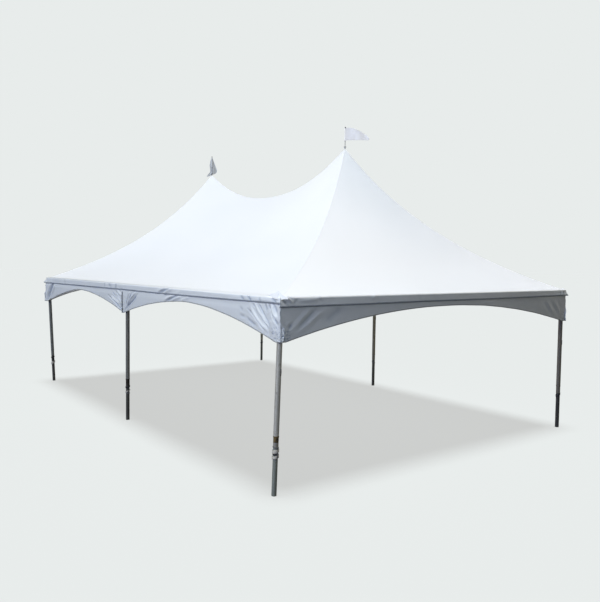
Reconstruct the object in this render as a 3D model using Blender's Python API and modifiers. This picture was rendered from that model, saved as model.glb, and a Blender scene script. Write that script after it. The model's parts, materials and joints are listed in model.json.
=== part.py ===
# Marquee tent: a 6.1 m by 9.1 m frame marquee with two peaks, six telescoping legs,
# scalloped valances and two swivelling pennants. Metres, +Z up, origin on the floor
# at the middle of the plan. +Y is the long way, the front end is at -Y, the left side at -X.

from math import atan2, cos, hypot, pi, sin, sqrt

import bmesh
import bpy
import numpy as np
from mathutils import Matrix, Vector

# Driving dimensions
LEG_X = 3.048
LEG_Y = 4.572
PEAK_Y = 2.278
EAVE_Z = 2.430
PEAK_Z = 4.845
GAP = 0.0003

# Canopy skin
SKIN = 0.005
SHOULDER = 0.050
SHOULDER_FLAT = 0.009
BEND_STEPS = 3
HEM_DROP = 0.095
SADDLE_SHARE = 0.717
SADDLE_POWER = 2.17
TENSION_GROWTH = 3.0
GROWTH_REACH = 3.8
ROOF_CELLS = 8
ROOF_GRADING = 1.2
PEAK_HOLE = 0.012
PEAK_HOLE_REACH = 0.100

# Valances
VALANCE_SKIN = 0.003
VALANCE_MID = 0.192
VALANCE_SCOOP = 0.368
VALANCE_POWER = 1.8
BACK_VALANCE_POWER = 4.0
VALANCE_POINTS = 20

# Frame tubes
TUBE = 0.03175
TUBE_BORE = 0.0288
SIDES = 16
SPIGOT = 0.0279
SPIGOT_REACH = 0.150
LEG_SPIGOT = 0.0290
LEG_SPIGOT_REACH = 0.165
STUB = 0.0375
LEG_STUB = 0.080
STUB_STEP = 0.0006
ARM_START = -0.004
RAIL_Z = EAVE_Z - SKIN - GAP - TUBE

# Legs: the lower tube slides in the upper one, through a bush below its end collar
LEG_TUBE = 0.0355
LEG_BORE = 0.0330
LOWER = 0.0322
LOWER_BORE = 0.0290
COLLAR = 0.0372
COLLAR_LOW = 0.722
COLLAR_HIGH = 0.740
BUSH = 0.0340
BUSH_LOW = 0.605
LOWER_TOP = 0.900
FOOT_PLATE = 0.012
FLOOR_TRIM = 0.010
FOOT_SHIFT = {
    "front_left": (-0.050, 0.028),
    "back_left": (0.078, -0.062),
}

# Masts, their cable crosses and the pennants
HUB_LOW = 2.130
HUB_HIGH = 2.170
HUB_RADIUS = 0.060
CABLE = 0.005
TERMINAL = 0.009
TERMINAL_REACH = 0.120
EYE_CLEARANCE = 3 * GAP
LUG_REACH = 0.075
LUG_WIDTH = 0.010
LUG_HEIGHT = 0.030
LUG_LEVEL = -0.057
MAST_SHOULDER = 0.016
MAST_SLACK = 0.0022
MAST_PIN = 0.009
PIN_RISE = 0.014
ROD = 0.005
ROD_BASE = 0.022
ROD_BASE_HEIGHT = 0.006
ROD_HEIGHT = {"front": 0.360, "back": 0.420}
SLEEVE_BORE = 0.0065
SLEEVE = 0.0085
HOIST = 0.220
STOP = 0.010
STOP_HEIGHT = 0.008
CAP_HEIGHT = 0.016
SLEEVE_PLAY = 0.001
PENNANT_SKIN = 0.003
PENNANT_POINTS = 10
PENNANT_TAPER = 0.96
PENNANT_SAG_POWER = 1.5
PENNANT = {
    "front": {"reach": 0.440, "drop": 0.045, "turn": -0.62},
    "back": {"reach": 0.170, "drop": 0.260, "turn": 0.30},
}

SHARP_ANGLE = pi / 5
MERGE = 0.00005
FLOOR_BLOCK = 1.0

SIDE = {"left": -1, "right": 1}
END = {"front": -1, "mid": 0, "back": 1}


def clear_scene():
    for obj in list(bpy.data.objects):
        bpy.data.objects.remove(obj, do_unlink=True)
    parts = bpy.data.collections.new("marquee_tent")
    cutters = bpy.data.collections.new("cutters")
    for collection in (parts, cutters):
        bpy.context.scene.collection.children.link(collection)
    return parts, cutters


def make_material(name, colour, roughness, metallic):
    material = bpy.data.materials.new(name)
    material.use_nodes = True
    shader = material.node_tree.nodes["Principled BSDF"]
    shader.inputs["Base Color"].default_value = (*colour, 1.0)
    shader.inputs["Roughness"].default_value = roughness
    shader.inputs["Metallic"].default_value = metallic
    return material


PARTS, CUTTERS = clear_scene()
VINYL = make_material("white_vinyl", (0.86, 0.88, 0.92), 0.45, 0.0)
GALVANISED = make_material("galvanised_steel", (0.34, 0.34, 0.33), 0.40, 0.9)
DARK_STEEL = make_material("dark_steel", (0.12, 0.12, 0.12), 0.45, 0.8)
ALUMINIUM = make_material("mill_aluminium", (0.60, 0.61, 0.62), 0.35, 0.9)
NYLON = make_material("pennant_nylon", (0.72, 0.75, 0.85), 0.60, 0.0)


def add_mesh(name, mesh, material, matrix=Matrix()):
    mesh.materials.append(material)
    obj = bpy.data.objects.new(name, mesh)
    obj.matrix_world = matrix
    PARTS.objects.link(obj)
    return obj


def shade_round(mesh):
    mesh.shade_smooth()
    mesh.set_sharp_from_angle(angle=SHARP_ANGLE)


def axis_matrix(origin, direction):
    # local +Z along the direction
    turn = Vector(direction).to_track_quat("Z", "Y").to_matrix().to_4x4()
    return Matrix.Translation(origin) @ turn


def hide_cutter(obj):
    for collection in list(obj.users_collection):
        collection.objects.unlink(obj)
    CUTTERS.objects.link(obj)
    obj.hide_render = True
    obj.display_type = "WIRE"


def boolean(obj, other, operation):
    hide_cutter(other)
    cut = obj.modifiers.new(f"{operation.lower()}_{other.name}", "BOOLEAN")
    cut.operation = operation
    cut.object = other
    cut.solver = "EXACT"


def turned(name, profile, material, matrix, closed):
    # profile points are (radius, height), down the outer side first
    mesh = bpy.data.meshes.new(name)
    points = [(radius, 0.0, height) for radius, height in profile]
    edges = [(k, k + 1) for k in range(len(points) - 1)]
    if closed:
        edges.append((len(points) - 1, 0))
    mesh.from_pydata(points, edges, [])
    obj = add_mesh(name, mesh, material, matrix)
    screw = obj.modifiers.new("turn", "SCREW")
    screw.steps = SIDES
    screw.render_steps = SIDES
    screw.use_merge_vertices = True
    screw.merge_threshold = MERGE
    screw.use_smooth_shade = True
    return obj


def cylinder(name, radius, low, high, material, matrix):
    mesh = bpy.data.meshes.new(name)
    bm = bmesh.new()
    middle = Matrix.Translation((0.0, 0.0, (low + high) / 2))
    bmesh.ops.create_cone(bm, cap_ends=True, segments=SIDES, radius1=radius, radius2=radius,
                          depth=high - low, matrix=middle)
    bm.to_mesh(mesh)
    bm.free()
    shade_round(mesh)
    return add_mesh(name, mesh, material, matrix)


def box(name, size, centre, material, matrix):
    mesh = bpy.data.meshes.new(name)
    bm = bmesh.new()
    bmesh.ops.create_cube(bm, size=1.0)
    bmesh.ops.scale(bm, vec=size, verts=bm.verts)
    bmesh.ops.translate(bm, vec=centre, verts=bm.verts)
    bm.to_mesh(mesh)
    bm.free()
    return add_mesh(name, mesh, material, matrix)


def hip_share(t):
    # height of a hip seam above the eave, as a share of the peak's; t runs from peak to corner
    return (1.0 - t) / (1.0 + t)


def ridge_share(y):
    # height of the seam between the peaks
    return SADDLE_SHARE + (1.0 - SADDLE_SHARE) * (abs(y) / PEAK_Y) ** SADDLE_POWER


def roof_lines():
    grade = np.linspace(0.0, 1.0, ROOF_CELLS + 1) ** ROOF_GRADING
    xs = LEG_X * grade
    ys = np.concatenate([PEAK_Y * (1.0 - grade[::-1]), PEAK_Y + (LEG_Y - PEAK_Y) * grade[1:]])
    return grade, xs, ys


def roof_heights():
    # Form-finding: the skin is a net of threads in tension, each free knot at the weighted
    # mean of its neighbours, held at the eave, at the hip seams and along the ridge seam.
    grade, xs, ys = roof_lines()
    columns, rows = len(xs), len(ys)
    index = np.arange(columns * rows).reshape(columns, rows)
    dx, dy = np.diff(xs), np.diff(ys)
    width = np.zeros(columns)
    width[:-1] += dx / 2
    width[1:] += dx / 2
    depth = np.zeros(rows)
    depth[:-1] += dy / 2
    depth[1:] += dy / 2
    matrix = np.zeros((index.size, index.size))

    def thread(a, b, x, y, share):
        tension = share * np.exp(TENSION_GROWTH * hypot(x, y - PEAK_Y) / GROWTH_REACH)
        for here, there in ((a, b), (b, a)):
            matrix[here, here] += tension
            matrix[here, there] -= tension

    for i in range(columns):
        for j in range(rows):
            if i + 1 < columns:
                thread(index[i, j], index[i + 1, j], (xs[i] + xs[i + 1]) / 2, ys[j], depth[j] / dx[i])
            if j + 1 < rows:
                thread(index[i, j], index[i, j + 1], xs[i], (ys[j] + ys[j + 1]) / 2, width[i] / dy[j])

    held = {index[i, rows - 1]: 0.0 for i in range(columns)}
    held.update({index[columns - 1, j]: 0.0 for j in range(rows)})
    for k in range(ROOF_CELLS + 1):
        held[index[k, ROOF_CELLS + k]] = hip_share(grade[k])
        held[index[0, k]] = ridge_share(ys[k])
    fixed = np.array(sorted(held))
    free = np.setdiff1d(index.ravel(), fixed)
    share = np.zeros(index.size)
    share[fixed] = [held[k] for k in fixed]
    pull = matrix[np.ix_(free, fixed)] @ share[fixed]
    share[free] = np.linalg.solve(matrix[np.ix_(free, free)], -pull)
    return xs, ys, EAVE_Z + (PEAK_Z - EAVE_Z) * share.reshape(columns, rows)


def steepest_at_peak(xs, ys, heights):
    # steepest gradient of the facets that meet at the peak
    k = ROOF_CELLS
    ring = [(0, k - 1), (1, k - 1), (1, k), (1, k + 1), (0, k + 1)]
    steepest = 0.0
    for (i1, j1), (i2, j2) in zip(ring, ring[1:]):
        sides = np.array([[xs[i1], ys[j1] - PEAK_Y], [xs[i2], ys[j2] - PEAK_Y]])
        drops = np.array([heights[i1, j1] - PEAK_Z, heights[i2, j2] - PEAK_Z])
        steepest = max(steepest, float(np.linalg.norm(np.linalg.solve(sides, drops))))
    return steepest


def canopy_quarter(xs, ys, heights):
    # one quarter of the skin, with its shoulder and hem, open on the two mirror planes
    bm = bmesh.new()
    columns, rows = heights.shape
    knots = [[bm.verts.new((xs[i], ys[j], heights[i, j])) for j in range(rows)] for i in range(columns)]
    for i in range(columns - 1):
        for j in range(rows - 1):
            a, b = knots[i][j], knots[i + 1][j]
            c, d = knots[i + 1][j + 1], knots[i][j + 1]
            pairs = ((a, b, c), (a, c, d)) if j >= ROOF_CELLS else ((a, b, d), (b, c, d))
            for corners in pairs:
                bm.faces.new(corners)
    edge = [knots[columns - 1][j] for j in range(rows)]
    edge += [knots[i][rows - 1] for i in range(columns - 2, -1, -1)]
    bend = SHOULDER - SHOULDER_FLAT
    rings = [(SHOULDER_FLAT, 0.0)]
    turns = [pi / 2 * k / BEND_STEPS for k in range(1, BEND_STEPS + 1)]
    rings += [(SHOULDER_FLAT + bend * sin(a), bend * (1 - cos(a))) for a in turns]
    rings.append((SHOULDER, HEM_DROP))
    last = edge
    for outward, drop in rings:
        ring = []
        for vert in edge:
            x = vert.co.x + (outward if vert.co.x > LEG_X - GAP else 0.0)
            y = vert.co.y + (outward if vert.co.y > LEG_Y - GAP else 0.0)
            ring.append(bm.verts.new((x, y, EAVE_Z - drop)))
        for k in range(len(edge) - 1):
            bm.faces.new((last[k], ring[k], ring[k + 1], last[k + 1]))
        last = ring
    bmesh.ops.recalc_face_normals(bm, faces=bm.faces)
    bm.faces.ensure_lookup_table()
    if bm.faces[0].normal.z < 0:
        bmesh.ops.reverse_faces(bm, faces=bm.faces)
    return bm


def build_canopy(xs, ys, heights):
    bm = canopy_quarter(xs, ys, heights)
    mesh = bpy.data.meshes.new("canopy")
    bm.to_mesh(mesh)
    bm.free()
    canopy = add_mesh("canopy", mesh, VINYL)
    mirror = canopy.modifiers.new("four_quarters", "MIRROR")
    mirror.use_axis = (True, True, False)
    mirror.merge_threshold = MERGE
    skin = canopy.modifiers.new("skin", "SOLIDIFY")
    skin.thickness = SKIN
    skin.offset = -1.0
    skin.use_even_offset = True
    for end in ("front", "back"):
        peak = Matrix.Translation((0.0, END[end] * PEAK_Y, PEAK_Z))
        hole = cylinder(f"{end}_peak_hole", PEAK_HOLE, -PEAK_HOLE_REACH, PEAK_HOLE_REACH, VINYL, peak)
        boolean(canopy, hole, "DIFFERENCE")


def valance_drop(u, power):
    # depth below the eave: u is 0 in mid-bay and 1 at a leg
    return VALANCE_MID + VALANCE_SCOOP * min(u, 1.0) ** power


def build_valance(name, start, finish, middle, half_bay, matrix, power=VALANCE_POWER):
    top = EAVE_Z - HEM_DROP - GAP
    steps = [start + (finish - start) * k / VALANCE_POINTS for k in range(VALANCE_POINTS + 1)]
    outline = [(s, EAVE_Z - valance_drop(abs(s - middle) / half_bay, power)) for s in steps]
    outline += [(finish, top), (start, top)]
    curve = bpy.data.curves.new(name, "CURVE")
    curve.dimensions = "2D"
    curve.fill_mode = "BOTH"
    curve.extrude = VALANCE_SKIN / 2
    spline = curve.splines.new("POLY")
    spline.points.add(len(outline) - 1)
    for point, (s, z) in zip(spline.points, outline):
        point.co = (s, z, 0.0, 1.0)
    spline.use_cyclic_u = True
    curve.materials.append(VINYL)
    obj = bpy.data.objects.new(name, curve)
    obj.matrix_world = matrix
    PARTS.objects.link(obj)


def build_valances():
    plane_x = LEG_X + SHOULDER - VALANCE_SKIN / 2
    plane_y = LEG_Y + SHOULDER - VALANCE_SKIN / 2
    reach_x = LEG_X + SHOULDER - VALANCE_SKIN - GAP
    reach_y = LEG_Y + SHOULDER
    upright = Matrix.Rotation(pi / 2, 4, "X")
    for end, power in (("front", VALANCE_POWER), ("back", BACK_VALANCE_POWER)):
        place = Matrix.Translation((0.0, END[end] * plane_y, 0.0)) @ upright
        build_valance(f"valance_{end}", -reach_x, reach_x, 0.0, LEG_X, place, power)
    along = Matrix.Rotation(pi / 2, 4, "Z") @ upright
    for side in ("left", "right"):
        place = Matrix.Translation((SIDE[side] * plane_x, 0.0, 0.0)) @ along
        build_valance(f"valance_{side}_front", -reach_y, -GAP / 2, -LEG_Y / 2, LEG_Y / 2, place)
        build_valance(f"valance_{side}_back", GAP / 2, reach_y, LEG_Y / 2, LEG_Y / 2, place)


def tube(name, start, finish, material=GALVANISED):
    start, finish = Vector(start), Vector(finish)
    length = (finish - start).length
    profile = [(TUBE, length), (TUBE, 0.0), (TUBE_BORE, 0.0), (TUBE_BORE, length)]
    return turned(name, profile, material, axis_matrix(start, finish - start), True)


def build_rails():
    inset_x = LEG_X - STUB - GAP
    inset_y = LEG_Y - STUB - GAP
    for end, place in (("front", -LEG_Y), ("cross", 0.0), ("back", LEG_Y)):
        tube(f"rail_{end}", (-inset_x, place, RAIL_Z), (inset_x, place, RAIL_Z))
    for side in ("left", "right"):
        x = SIDE[side] * LEG_X
        tube(f"rail_{side}_front", (x, -inset_y, RAIL_Z), (x, -STUB - GAP, RAIL_Z))
        tube(f"rail_{side}_back", (x, STUB + GAP, RAIL_Z), (x, inset_y, RAIL_Z))


def crown_arm(name, centre, direction, tube_radius, spigot, stub_end, rank, through=False):
    # a stub about as thick as the tube, then the spigot that the tube slips over, on both
    # sides if it runs through; each next arm is a little slimmer, so that no two ridges meet
    stub = tube_radius - rank * STUB_STEP
    start = ARM_START - rank * STUB_STEP
    radius, reach = spigot
    profile = [(0.0, reach), (radius, reach), (radius, stub_end), (stub, stub_end)]
    if through:
        profile += [(r, -height) for r, height in reversed(profile)]
    else:
        profile += [(stub, start), (0.0, start)]
    return turned(name, profile, DARK_STEEL, axis_matrix(centre, direction), False)


def hub_centre(end):
    return Vector((0.0, END[end] * PEAK_Y, (HUB_LOW + HUB_HIGH) / 2))


def lug_heading(centre, end):
    flat = hub_centre(end) - centre
    flat.z = 0.0
    return flat.normalized()


def build_crown(side, end):
    # the fitting on top of a leg, with a spigot for each tube and a lug for each cable
    name = f"crown_{end}_{side}"
    centre = Vector((SIDE[side] * LEG_X, END[end] * LEG_Y, RAIL_Z))
    down = (0.0, 0.0, -1.0)
    leg_spigot = (LEG_SPIGOT, LEG_SPIGOT_REACH)
    crown = crown_arm(name, centre, down, LEG_TUBE, leg_spigot, LEG_STUB, 0)
    rail_spigot = (SPIGOT, SPIGOT_REACH)
    inward = (-SIDE[side], 0.0, 0.0)
    arm = crown_arm(f"{name}_arm_in", centre, inward, TUBE, rail_spigot, STUB, 1)
    boolean(crown, arm, "UNION")
    along = (0.0, -END[end] or 1.0, 0.0)
    arm = crown_arm(f"{name}_arm_along", centre, along, TUBE, rail_spigot, STUB, 2, end == "mid")
    boolean(crown, arm, "UNION")
    for bay in ("front", "back") if end == "mid" else (end,):
        heading = lug_heading(centre, bay)
        turn = Matrix.Translation(centre) @ Matrix.Rotation(atan2(heading.y, heading.x), 4, "Z")
        size = (LUG_REACH, LUG_WIDTH, LUG_HEIGHT)
        lug = box(f"{name}_lug_{bay}", size, (LUG_REACH / 2, 0.0, LUG_LEVEL), DARK_STEEL, turn)
        boolean(crown, lug, "UNION")


def leg_line(side, end):
    # the leg's foot centre on the floor, its unit direction up the tubes, and the distance
    # up to the crown's stub; a leaning leg turns about the middle of the crown's spigot
    shift = FOOT_SHIFT.get(f"{end}_{side}", (0.0, 0.0))
    pivot_drop = (LEG_STUB + LEG_SPIGOT_REACH) / 2
    pivot = Vector((SIDE[side] * LEG_X, END[end] * LEG_Y, RAIL_Z - pivot_drop))
    foot = Vector((pivot.x + shift[0], pivot.y + shift[1], 0.0))
    return foot, (pivot - foot).normalized(), (pivot - foot).length + pivot_drop - LEG_STUB


def build_leg(side, end, floor):
    foot, direction, reach = leg_line(side, end)
    place = axis_matrix(foot, direction)
    top = reach - GAP - hypot(direction.x, direction.y) * LEG_TUBE
    profile = [(LEG_TUBE, top), (LEG_TUBE, COLLAR_HIGH), (COLLAR, COLLAR_HIGH), (COLLAR, COLLAR_LOW)]
    profile += [(BUSH, COLLAR_LOW), (BUSH, BUSH_LOW), (LEG_BORE, BUSH_LOW), (LEG_BORE, top)]
    turned(f"leg_upper_{end}_{side}", profile, GALVANISED, place, True)
    # the lower tube's bore is closed by the foot plate, which meets on the axis
    profile = [(0.0, FOOT_PLATE), (LOWER_BORE, FOOT_PLATE), (LOWER_BORE, LOWER_TOP)]
    profile += [(LOWER, LOWER_TOP), (LOWER, -FLOOR_TRIM), (0.0, -FLOOR_TRIM)]
    lower = turned(f"leg_lower_{end}_{side}", profile, DARK_STEEL, place, False)
    cut = lower.modifiers.new("level_foot", "BOOLEAN")
    cut.operation = "DIFFERENCE"
    cut.object = floor
    cut.solver = "EXACT"


def build_legs():
    span = 2 * (LEG_X + LEG_Y)
    floor_size = (span, span, FLOOR_BLOCK)
    floor = box("floor_cutter", floor_size, (0.0, 0.0, -FLOOR_BLOCK / 2), DARK_STEEL, Matrix())
    hide_cutter(floor)
    for end in ("front", "mid", "back"):
        for side in ("left", "right"):
            build_leg(side, end, floor)


def build_mast(end, steepest):
    # hollow tube with a cone that follows the skin's underside, and the pin through its eyelet
    drop = SKIN * sqrt(1.0 + steepest ** 2) + MAST_SLACK

    def under_skin(radius):
        return PEAK_Z - drop - steepest * radius

    base = HUB_HIGH + GAP
    profile = [
        (0.0, PEAK_Z + PIN_RISE),
        (MAST_PIN, PEAK_Z + PIN_RISE),
        (MAST_PIN, under_skin(MAST_SHOULDER)),
        (MAST_SHOULDER, under_skin(MAST_SHOULDER)),
        (TUBE, under_skin(TUBE)),
        (TUBE, base),
        (TUBE_BORE, base),
        (TUBE_BORE, under_skin(TUBE) - MAST_SHOULDER),
        (0.0, under_skin(TUBE) - MAST_SHOULDER),
    ]
    turned(f"mast_{end}", profile, ALUMINIUM, Matrix.Translation((0.0, END[end] * PEAK_Y, 0.0)), False)


def build_cable_cross(end):
    # a hub hung on four taut cables, which carries the foot of the mast
    centre = hub_centre(end)
    half = (HUB_HIGH - HUB_LOW) / 2
    cross = cylinder(f"cable_cross_{end}", HUB_RADIUS, -half, half, DARK_STEEL, Matrix.Translation(centre))
    for side in ("left", "right"):
        for far in ("mid", end):
            crown = Vector((SIDE[side] * LEG_X, END[far] * LEG_Y, RAIL_Z))
            heading = lug_heading(crown, end)
            eye = crown + heading * (LUG_REACH + EYE_CLEARANCE) + Vector((0.0, 0.0, LUG_LEVEL))
            run = (eye - centre).normalized()
            length = (eye - centre).length
            place = axis_matrix(centre, run)
            profile = [(0.0, length), (TERMINAL, length), (TERMINAL, length - TERMINAL_REACH)]
            profile += [(CABLE, length - TERMINAL_REACH), (CABLE, 0.0), (0.0, 0.0)]
            cable = turned(f"cable_{end}_{far}_{side}", profile, DARK_STEEL, place, False)
            cable.modifiers["turn"].steps = SIDES // 2
            cable.modifiers["turn"].render_steps = SIDES // 2
            boolean(cross, cable, "UNION")


def rod_levels(end):
    # heights above the peak: the rod's base, the sleeve's foot and top, and the rod's tip
    base = PIN_RISE + GAP
    top = ROD_HEIGHT[end]
    sleeve_top = top - CAP_HEIGHT
    return base, sleeve_top - HOIST, sleeve_top, top


def build_pennant_rod(end):
    base, sleeve_low, sleeve_high, top = rod_levels(end)
    place = Matrix.Translation((0.0, END[end] * PEAK_Y, PEAK_Z))
    stop_high = sleeve_low - GAP
    cap_low = sleeve_high + SLEEVE_PLAY
    profile = [
        (0.0, top),
        (STOP, top),
        (STOP, cap_low),
        (ROD, cap_low),
        (ROD, stop_high),
        (STOP, stop_high),
        (STOP, stop_high - STOP_HEIGHT),
        (ROD, stop_high - STOP_HEIGHT),
        (ROD, base + ROD_BASE_HEIGHT),
        (ROD_BASE, base + ROD_BASE_HEIGHT),
        (ROD_BASE, base),
        (0.0, base),
    ]
    turned(f"pennant_rod_{end}", profile, DARK_STEEL, place, False)


def pennant_outline(end):
    # a drooping triangle beside the rod: reach outwards, height above the peak
    _, low, high, _ = rod_levels(end)
    shape = PENNANT[end]
    upper, lower = [], []
    for k in range(PENNANT_POINTS + 1):
        s = k / PENNANT_POINTS
        reach = SLEEVE_BORE + 2 * GAP + shape["reach"] * s
        middle = (low + high) / 2 - shape["drop"] * s ** PENNANT_SAG_POWER
        half = HOIST / 2 * (1.0 - PENNANT_TAPER * s)
        upper.append((reach, middle + half))
        lower.append((reach, middle - half))
    return upper + lower[::-1]


def build_pennant(end):
    _, low, high, _ = rod_levels(end)
    place = Matrix.Translation((0.0, END[end] * PEAK_Y, PEAK_Z))
    place @= Matrix.Rotation(PENNANT[end]["turn"], 4, "Z")
    profile = [(SLEEVE, high), (SLEEVE, low), (SLEEVE_BORE, low), (SLEEVE_BORE, high)]
    pennant = turned(f"pennant_{end}", profile, NYLON, place, True)
    outline = pennant_outline(end)
    mesh = bpy.data.meshes.new(f"pennant_fly_{end}")
    bm = bmesh.new()
    loop = [bm.verts.new((x, -PENNANT_SKIN / 2, z)) for x, z in outline]
    face = bm.faces.new(loop)
    sheet = bmesh.ops.extrude_face_region(bm, geom=[face])
    moved = [item for item in sheet["geom"] if isinstance(item, bmesh.types.BMVert)]
    bmesh.ops.translate(bm, vec=(0.0, PENNANT_SKIN, 0.0), verts=moved)
    bmesh.ops.recalc_face_normals(bm, faces=bm.faces)
    bm.to_mesh(mesh)
    bm.free()
    fly = add_mesh(f"pennant_fly_{end}", mesh, NYLON, place)
    boolean(pennant, fly, "UNION")


def main():
    xs, ys, heights = roof_heights()
    build_canopy(xs, ys, heights)
    build_valances()
    build_rails()
    for end in ("front", "mid", "back"):
        for side in ("left", "right"):
            build_crown(side, end)
    build_legs()
    for end in ("front", "back"):
        build_cable_cross(end)
        build_mast(end, steepest_at_peak(xs, ys, heights))
        build_pennant_rod(end)
        build_pennant(end)


main()
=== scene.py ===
# A white two-peaked frame marquee on a pale studio floor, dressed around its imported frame.
# Metres, +Z up. The front end is at -Y, the left side at -X, the floor at Z = 0.
import json
import math

import bmesh
import bpy
import numpy as np
from mathutils import Matrix, Vector, noise


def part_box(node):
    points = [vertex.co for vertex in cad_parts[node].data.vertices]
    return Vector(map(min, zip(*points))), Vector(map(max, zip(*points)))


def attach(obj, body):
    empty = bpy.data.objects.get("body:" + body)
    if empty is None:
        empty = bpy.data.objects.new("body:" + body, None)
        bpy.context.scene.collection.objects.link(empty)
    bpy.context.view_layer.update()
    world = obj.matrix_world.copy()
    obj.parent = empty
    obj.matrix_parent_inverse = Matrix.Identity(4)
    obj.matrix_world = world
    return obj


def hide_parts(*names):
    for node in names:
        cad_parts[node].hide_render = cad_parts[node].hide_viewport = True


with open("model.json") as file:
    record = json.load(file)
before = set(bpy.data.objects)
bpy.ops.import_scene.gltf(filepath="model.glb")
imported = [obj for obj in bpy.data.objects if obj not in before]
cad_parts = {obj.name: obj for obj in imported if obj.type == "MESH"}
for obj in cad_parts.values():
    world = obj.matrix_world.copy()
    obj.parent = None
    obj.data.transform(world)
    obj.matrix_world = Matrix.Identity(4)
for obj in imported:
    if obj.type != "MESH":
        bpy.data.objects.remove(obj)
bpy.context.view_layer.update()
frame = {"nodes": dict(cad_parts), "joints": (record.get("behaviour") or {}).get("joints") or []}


def middleOf(node):
    low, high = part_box(node)
    return (low + high) / 2


# Places read from the frame
legX = middleOf("rail_right_front").x
legY = middleOf("rail_back").y
peakY = middleOf("mast_back").y
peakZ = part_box("canopy")[1].z
railZ = middleOf("rail_front").z
tubeRadius = (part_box("rail_front")[1].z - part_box("rail_front")[0].z) / 2
solidSkin = 0.0053                       # the solid canopy's thickness and its gap to the rail
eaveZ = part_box("rail_front")[1].z + solidSkin
sideOf = {"left": -1, "right": 1}
endOf = {"front": -1, "mid": 0, "back": 1}
legKeys = [f"{end}_{side}" for end in endOf for side in sideOf]
print("frame read: legs at", round(legX, 3), round(legY, 3), "eave", round(eaveZ, 3))


# Node sums written as plain expressions, for shaders and for Geometry Nodes
class Wire:
    def __init__(self, tree, socket):
        self.tree = tree
        self.socket = socket

    def sum(self, operation, *others):
        # a Math node that takes this value first
        return addNode(self.tree, "ShaderNodeMath", (self, *others), operation=operation)

    def __add__(self, other):
        return self.sum("ADD", other)

    def __sub__(self, other):
        return self.sum("SUBTRACT", other)

    def __rsub__(self, other):
        return addNode(self.tree, "ShaderNodeMath", (other, self), operation="SUBTRACT")

    def __mul__(self, other):
        return self.sum("MULTIPLY", other)

    def __truediv__(self, other):
        return self.sum("DIVIDE", other)

    def __pow__(self, other):
        return self.sum("POWER", other)

    def __abs__(self):
        return self.sum("ABSOLUTE")

    __radd__ = __add__
    __rmul__ = __mul__

    def below(self, edge, soft):
        # 1 under the edge, 0 above it, with a soft step that reaches so far to each side
        sockets = [self, edge - soft, edge + soft, 1.0, 0.0]
        return addNode(self.tree, "ShaderNodeMapRange", sockets, clamp=True)


def addNode(tree, kind, sockets=(), output=0, **settings):
    node = tree.nodes.new(kind)
    for name, value in settings.items():
        setattr(node, name, value)
    pairs = sockets.items() if isinstance(sockets, dict) else enumerate(sockets)
    for key, value in pairs:
        for item in value if isinstance(value, list) else [value]:
            if isinstance(item, Wire):
                tree.links.new(item.socket, node.inputs[key])
            else:
                node.inputs[key].default_value = item
    return Wire(tree, node.outputs[output]) if node.outputs else None


class Finish:
    # one material: a Principled shader, with object coordinates and the nodes that feed it
    def __init__(self, name, colour, roughness, metallic=0.0, **plain):
        self.material = bpy.data.materials.new(name)
        self.material.use_nodes = True
        self.tree = self.material.node_tree
        self.shader = self.tree.nodes["Principled BSDF"]
        self.feed("Base Color", colour)
        self.feed("Roughness", roughness)
        self.feed("Metallic", metallic)
        for key, value in plain.items():
            self.feed(key.replace("_", " "), value)
        self.place = self.add("ShaderNodeTexCoord", output="Object")

    def feed(self, name, value):
        # gives an input of the shader a wire, a colour or a number
        socket = self.shader.inputs[name]
        if isinstance(value, Wire):
            self.tree.links.new(value.socket, socket)
        elif isinstance(value, (tuple, list)):
            socket.default_value = (*value, 1.0)
        else:
            socket.default_value = value

    def add(self, kind, sockets=(), output=0, **settings):
        return addNode(self.tree, kind, sockets, output, **settings)

    def axis(self, name):
        return self.add("ShaderNodeSeparateXYZ", [self.place], name)

    def noise(self, scale, detail=3.0, stretch=None):
        place = self.place
        if stretch:
            place = self.add("ShaderNodeMapping", {"Vector": place, "Scale": stretch})
        sockets = {"Vector": place, "Scale": scale, "Detail": detail, "Roughness": 0.55}
        return self.add("ShaderNodeTexNoise", sockets, "Fac")

    def cells(self, scale):
        return self.add("ShaderNodeTexVoronoi", {"Vector": self.place, "Scale": scale})

    def grade(self, value, low, high, newLow, newHigh):
        return self.add("ShaderNodeMapRange", [value, low, high, newLow, newHigh], clamp=True)

    def blend(self, share, first, second):
        colours = [c if isinstance(c, Wire) else (*c, 1.0) for c in (first, second)]
        return self.add("ShaderNodeMix", {0: share, 6: colours[0], 7: colours[1]}, 2, data_type="RGBA")

    def mottle(self, value, low, high, first, second, share=1.0):
        # the first colour where the value is low, up to that share of the second where it is high
        return self.blend(self.grade(value, low, high, 0.0, share), first, second)

    def colour(self, value):
        self.feed("Base Color", value)

    def rough(self, value):
        self.feed("Roughness", value)

    def glow(self, colour):
        # an emission: on the cloths it is painted light, standing in for light through thin cloth and for
        # their shading; on the floor it is the floor's own even tone
        self.feed("Emission Color", colour)
        self.feed("Emission Strength", 1.0)

    def bump(self, height, distance, strength):
        sockets = {"Height": height, "Distance": distance, "Strength": strength}
        self.feed("Normal", self.add("ShaderNodeBump", sockets))


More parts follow.
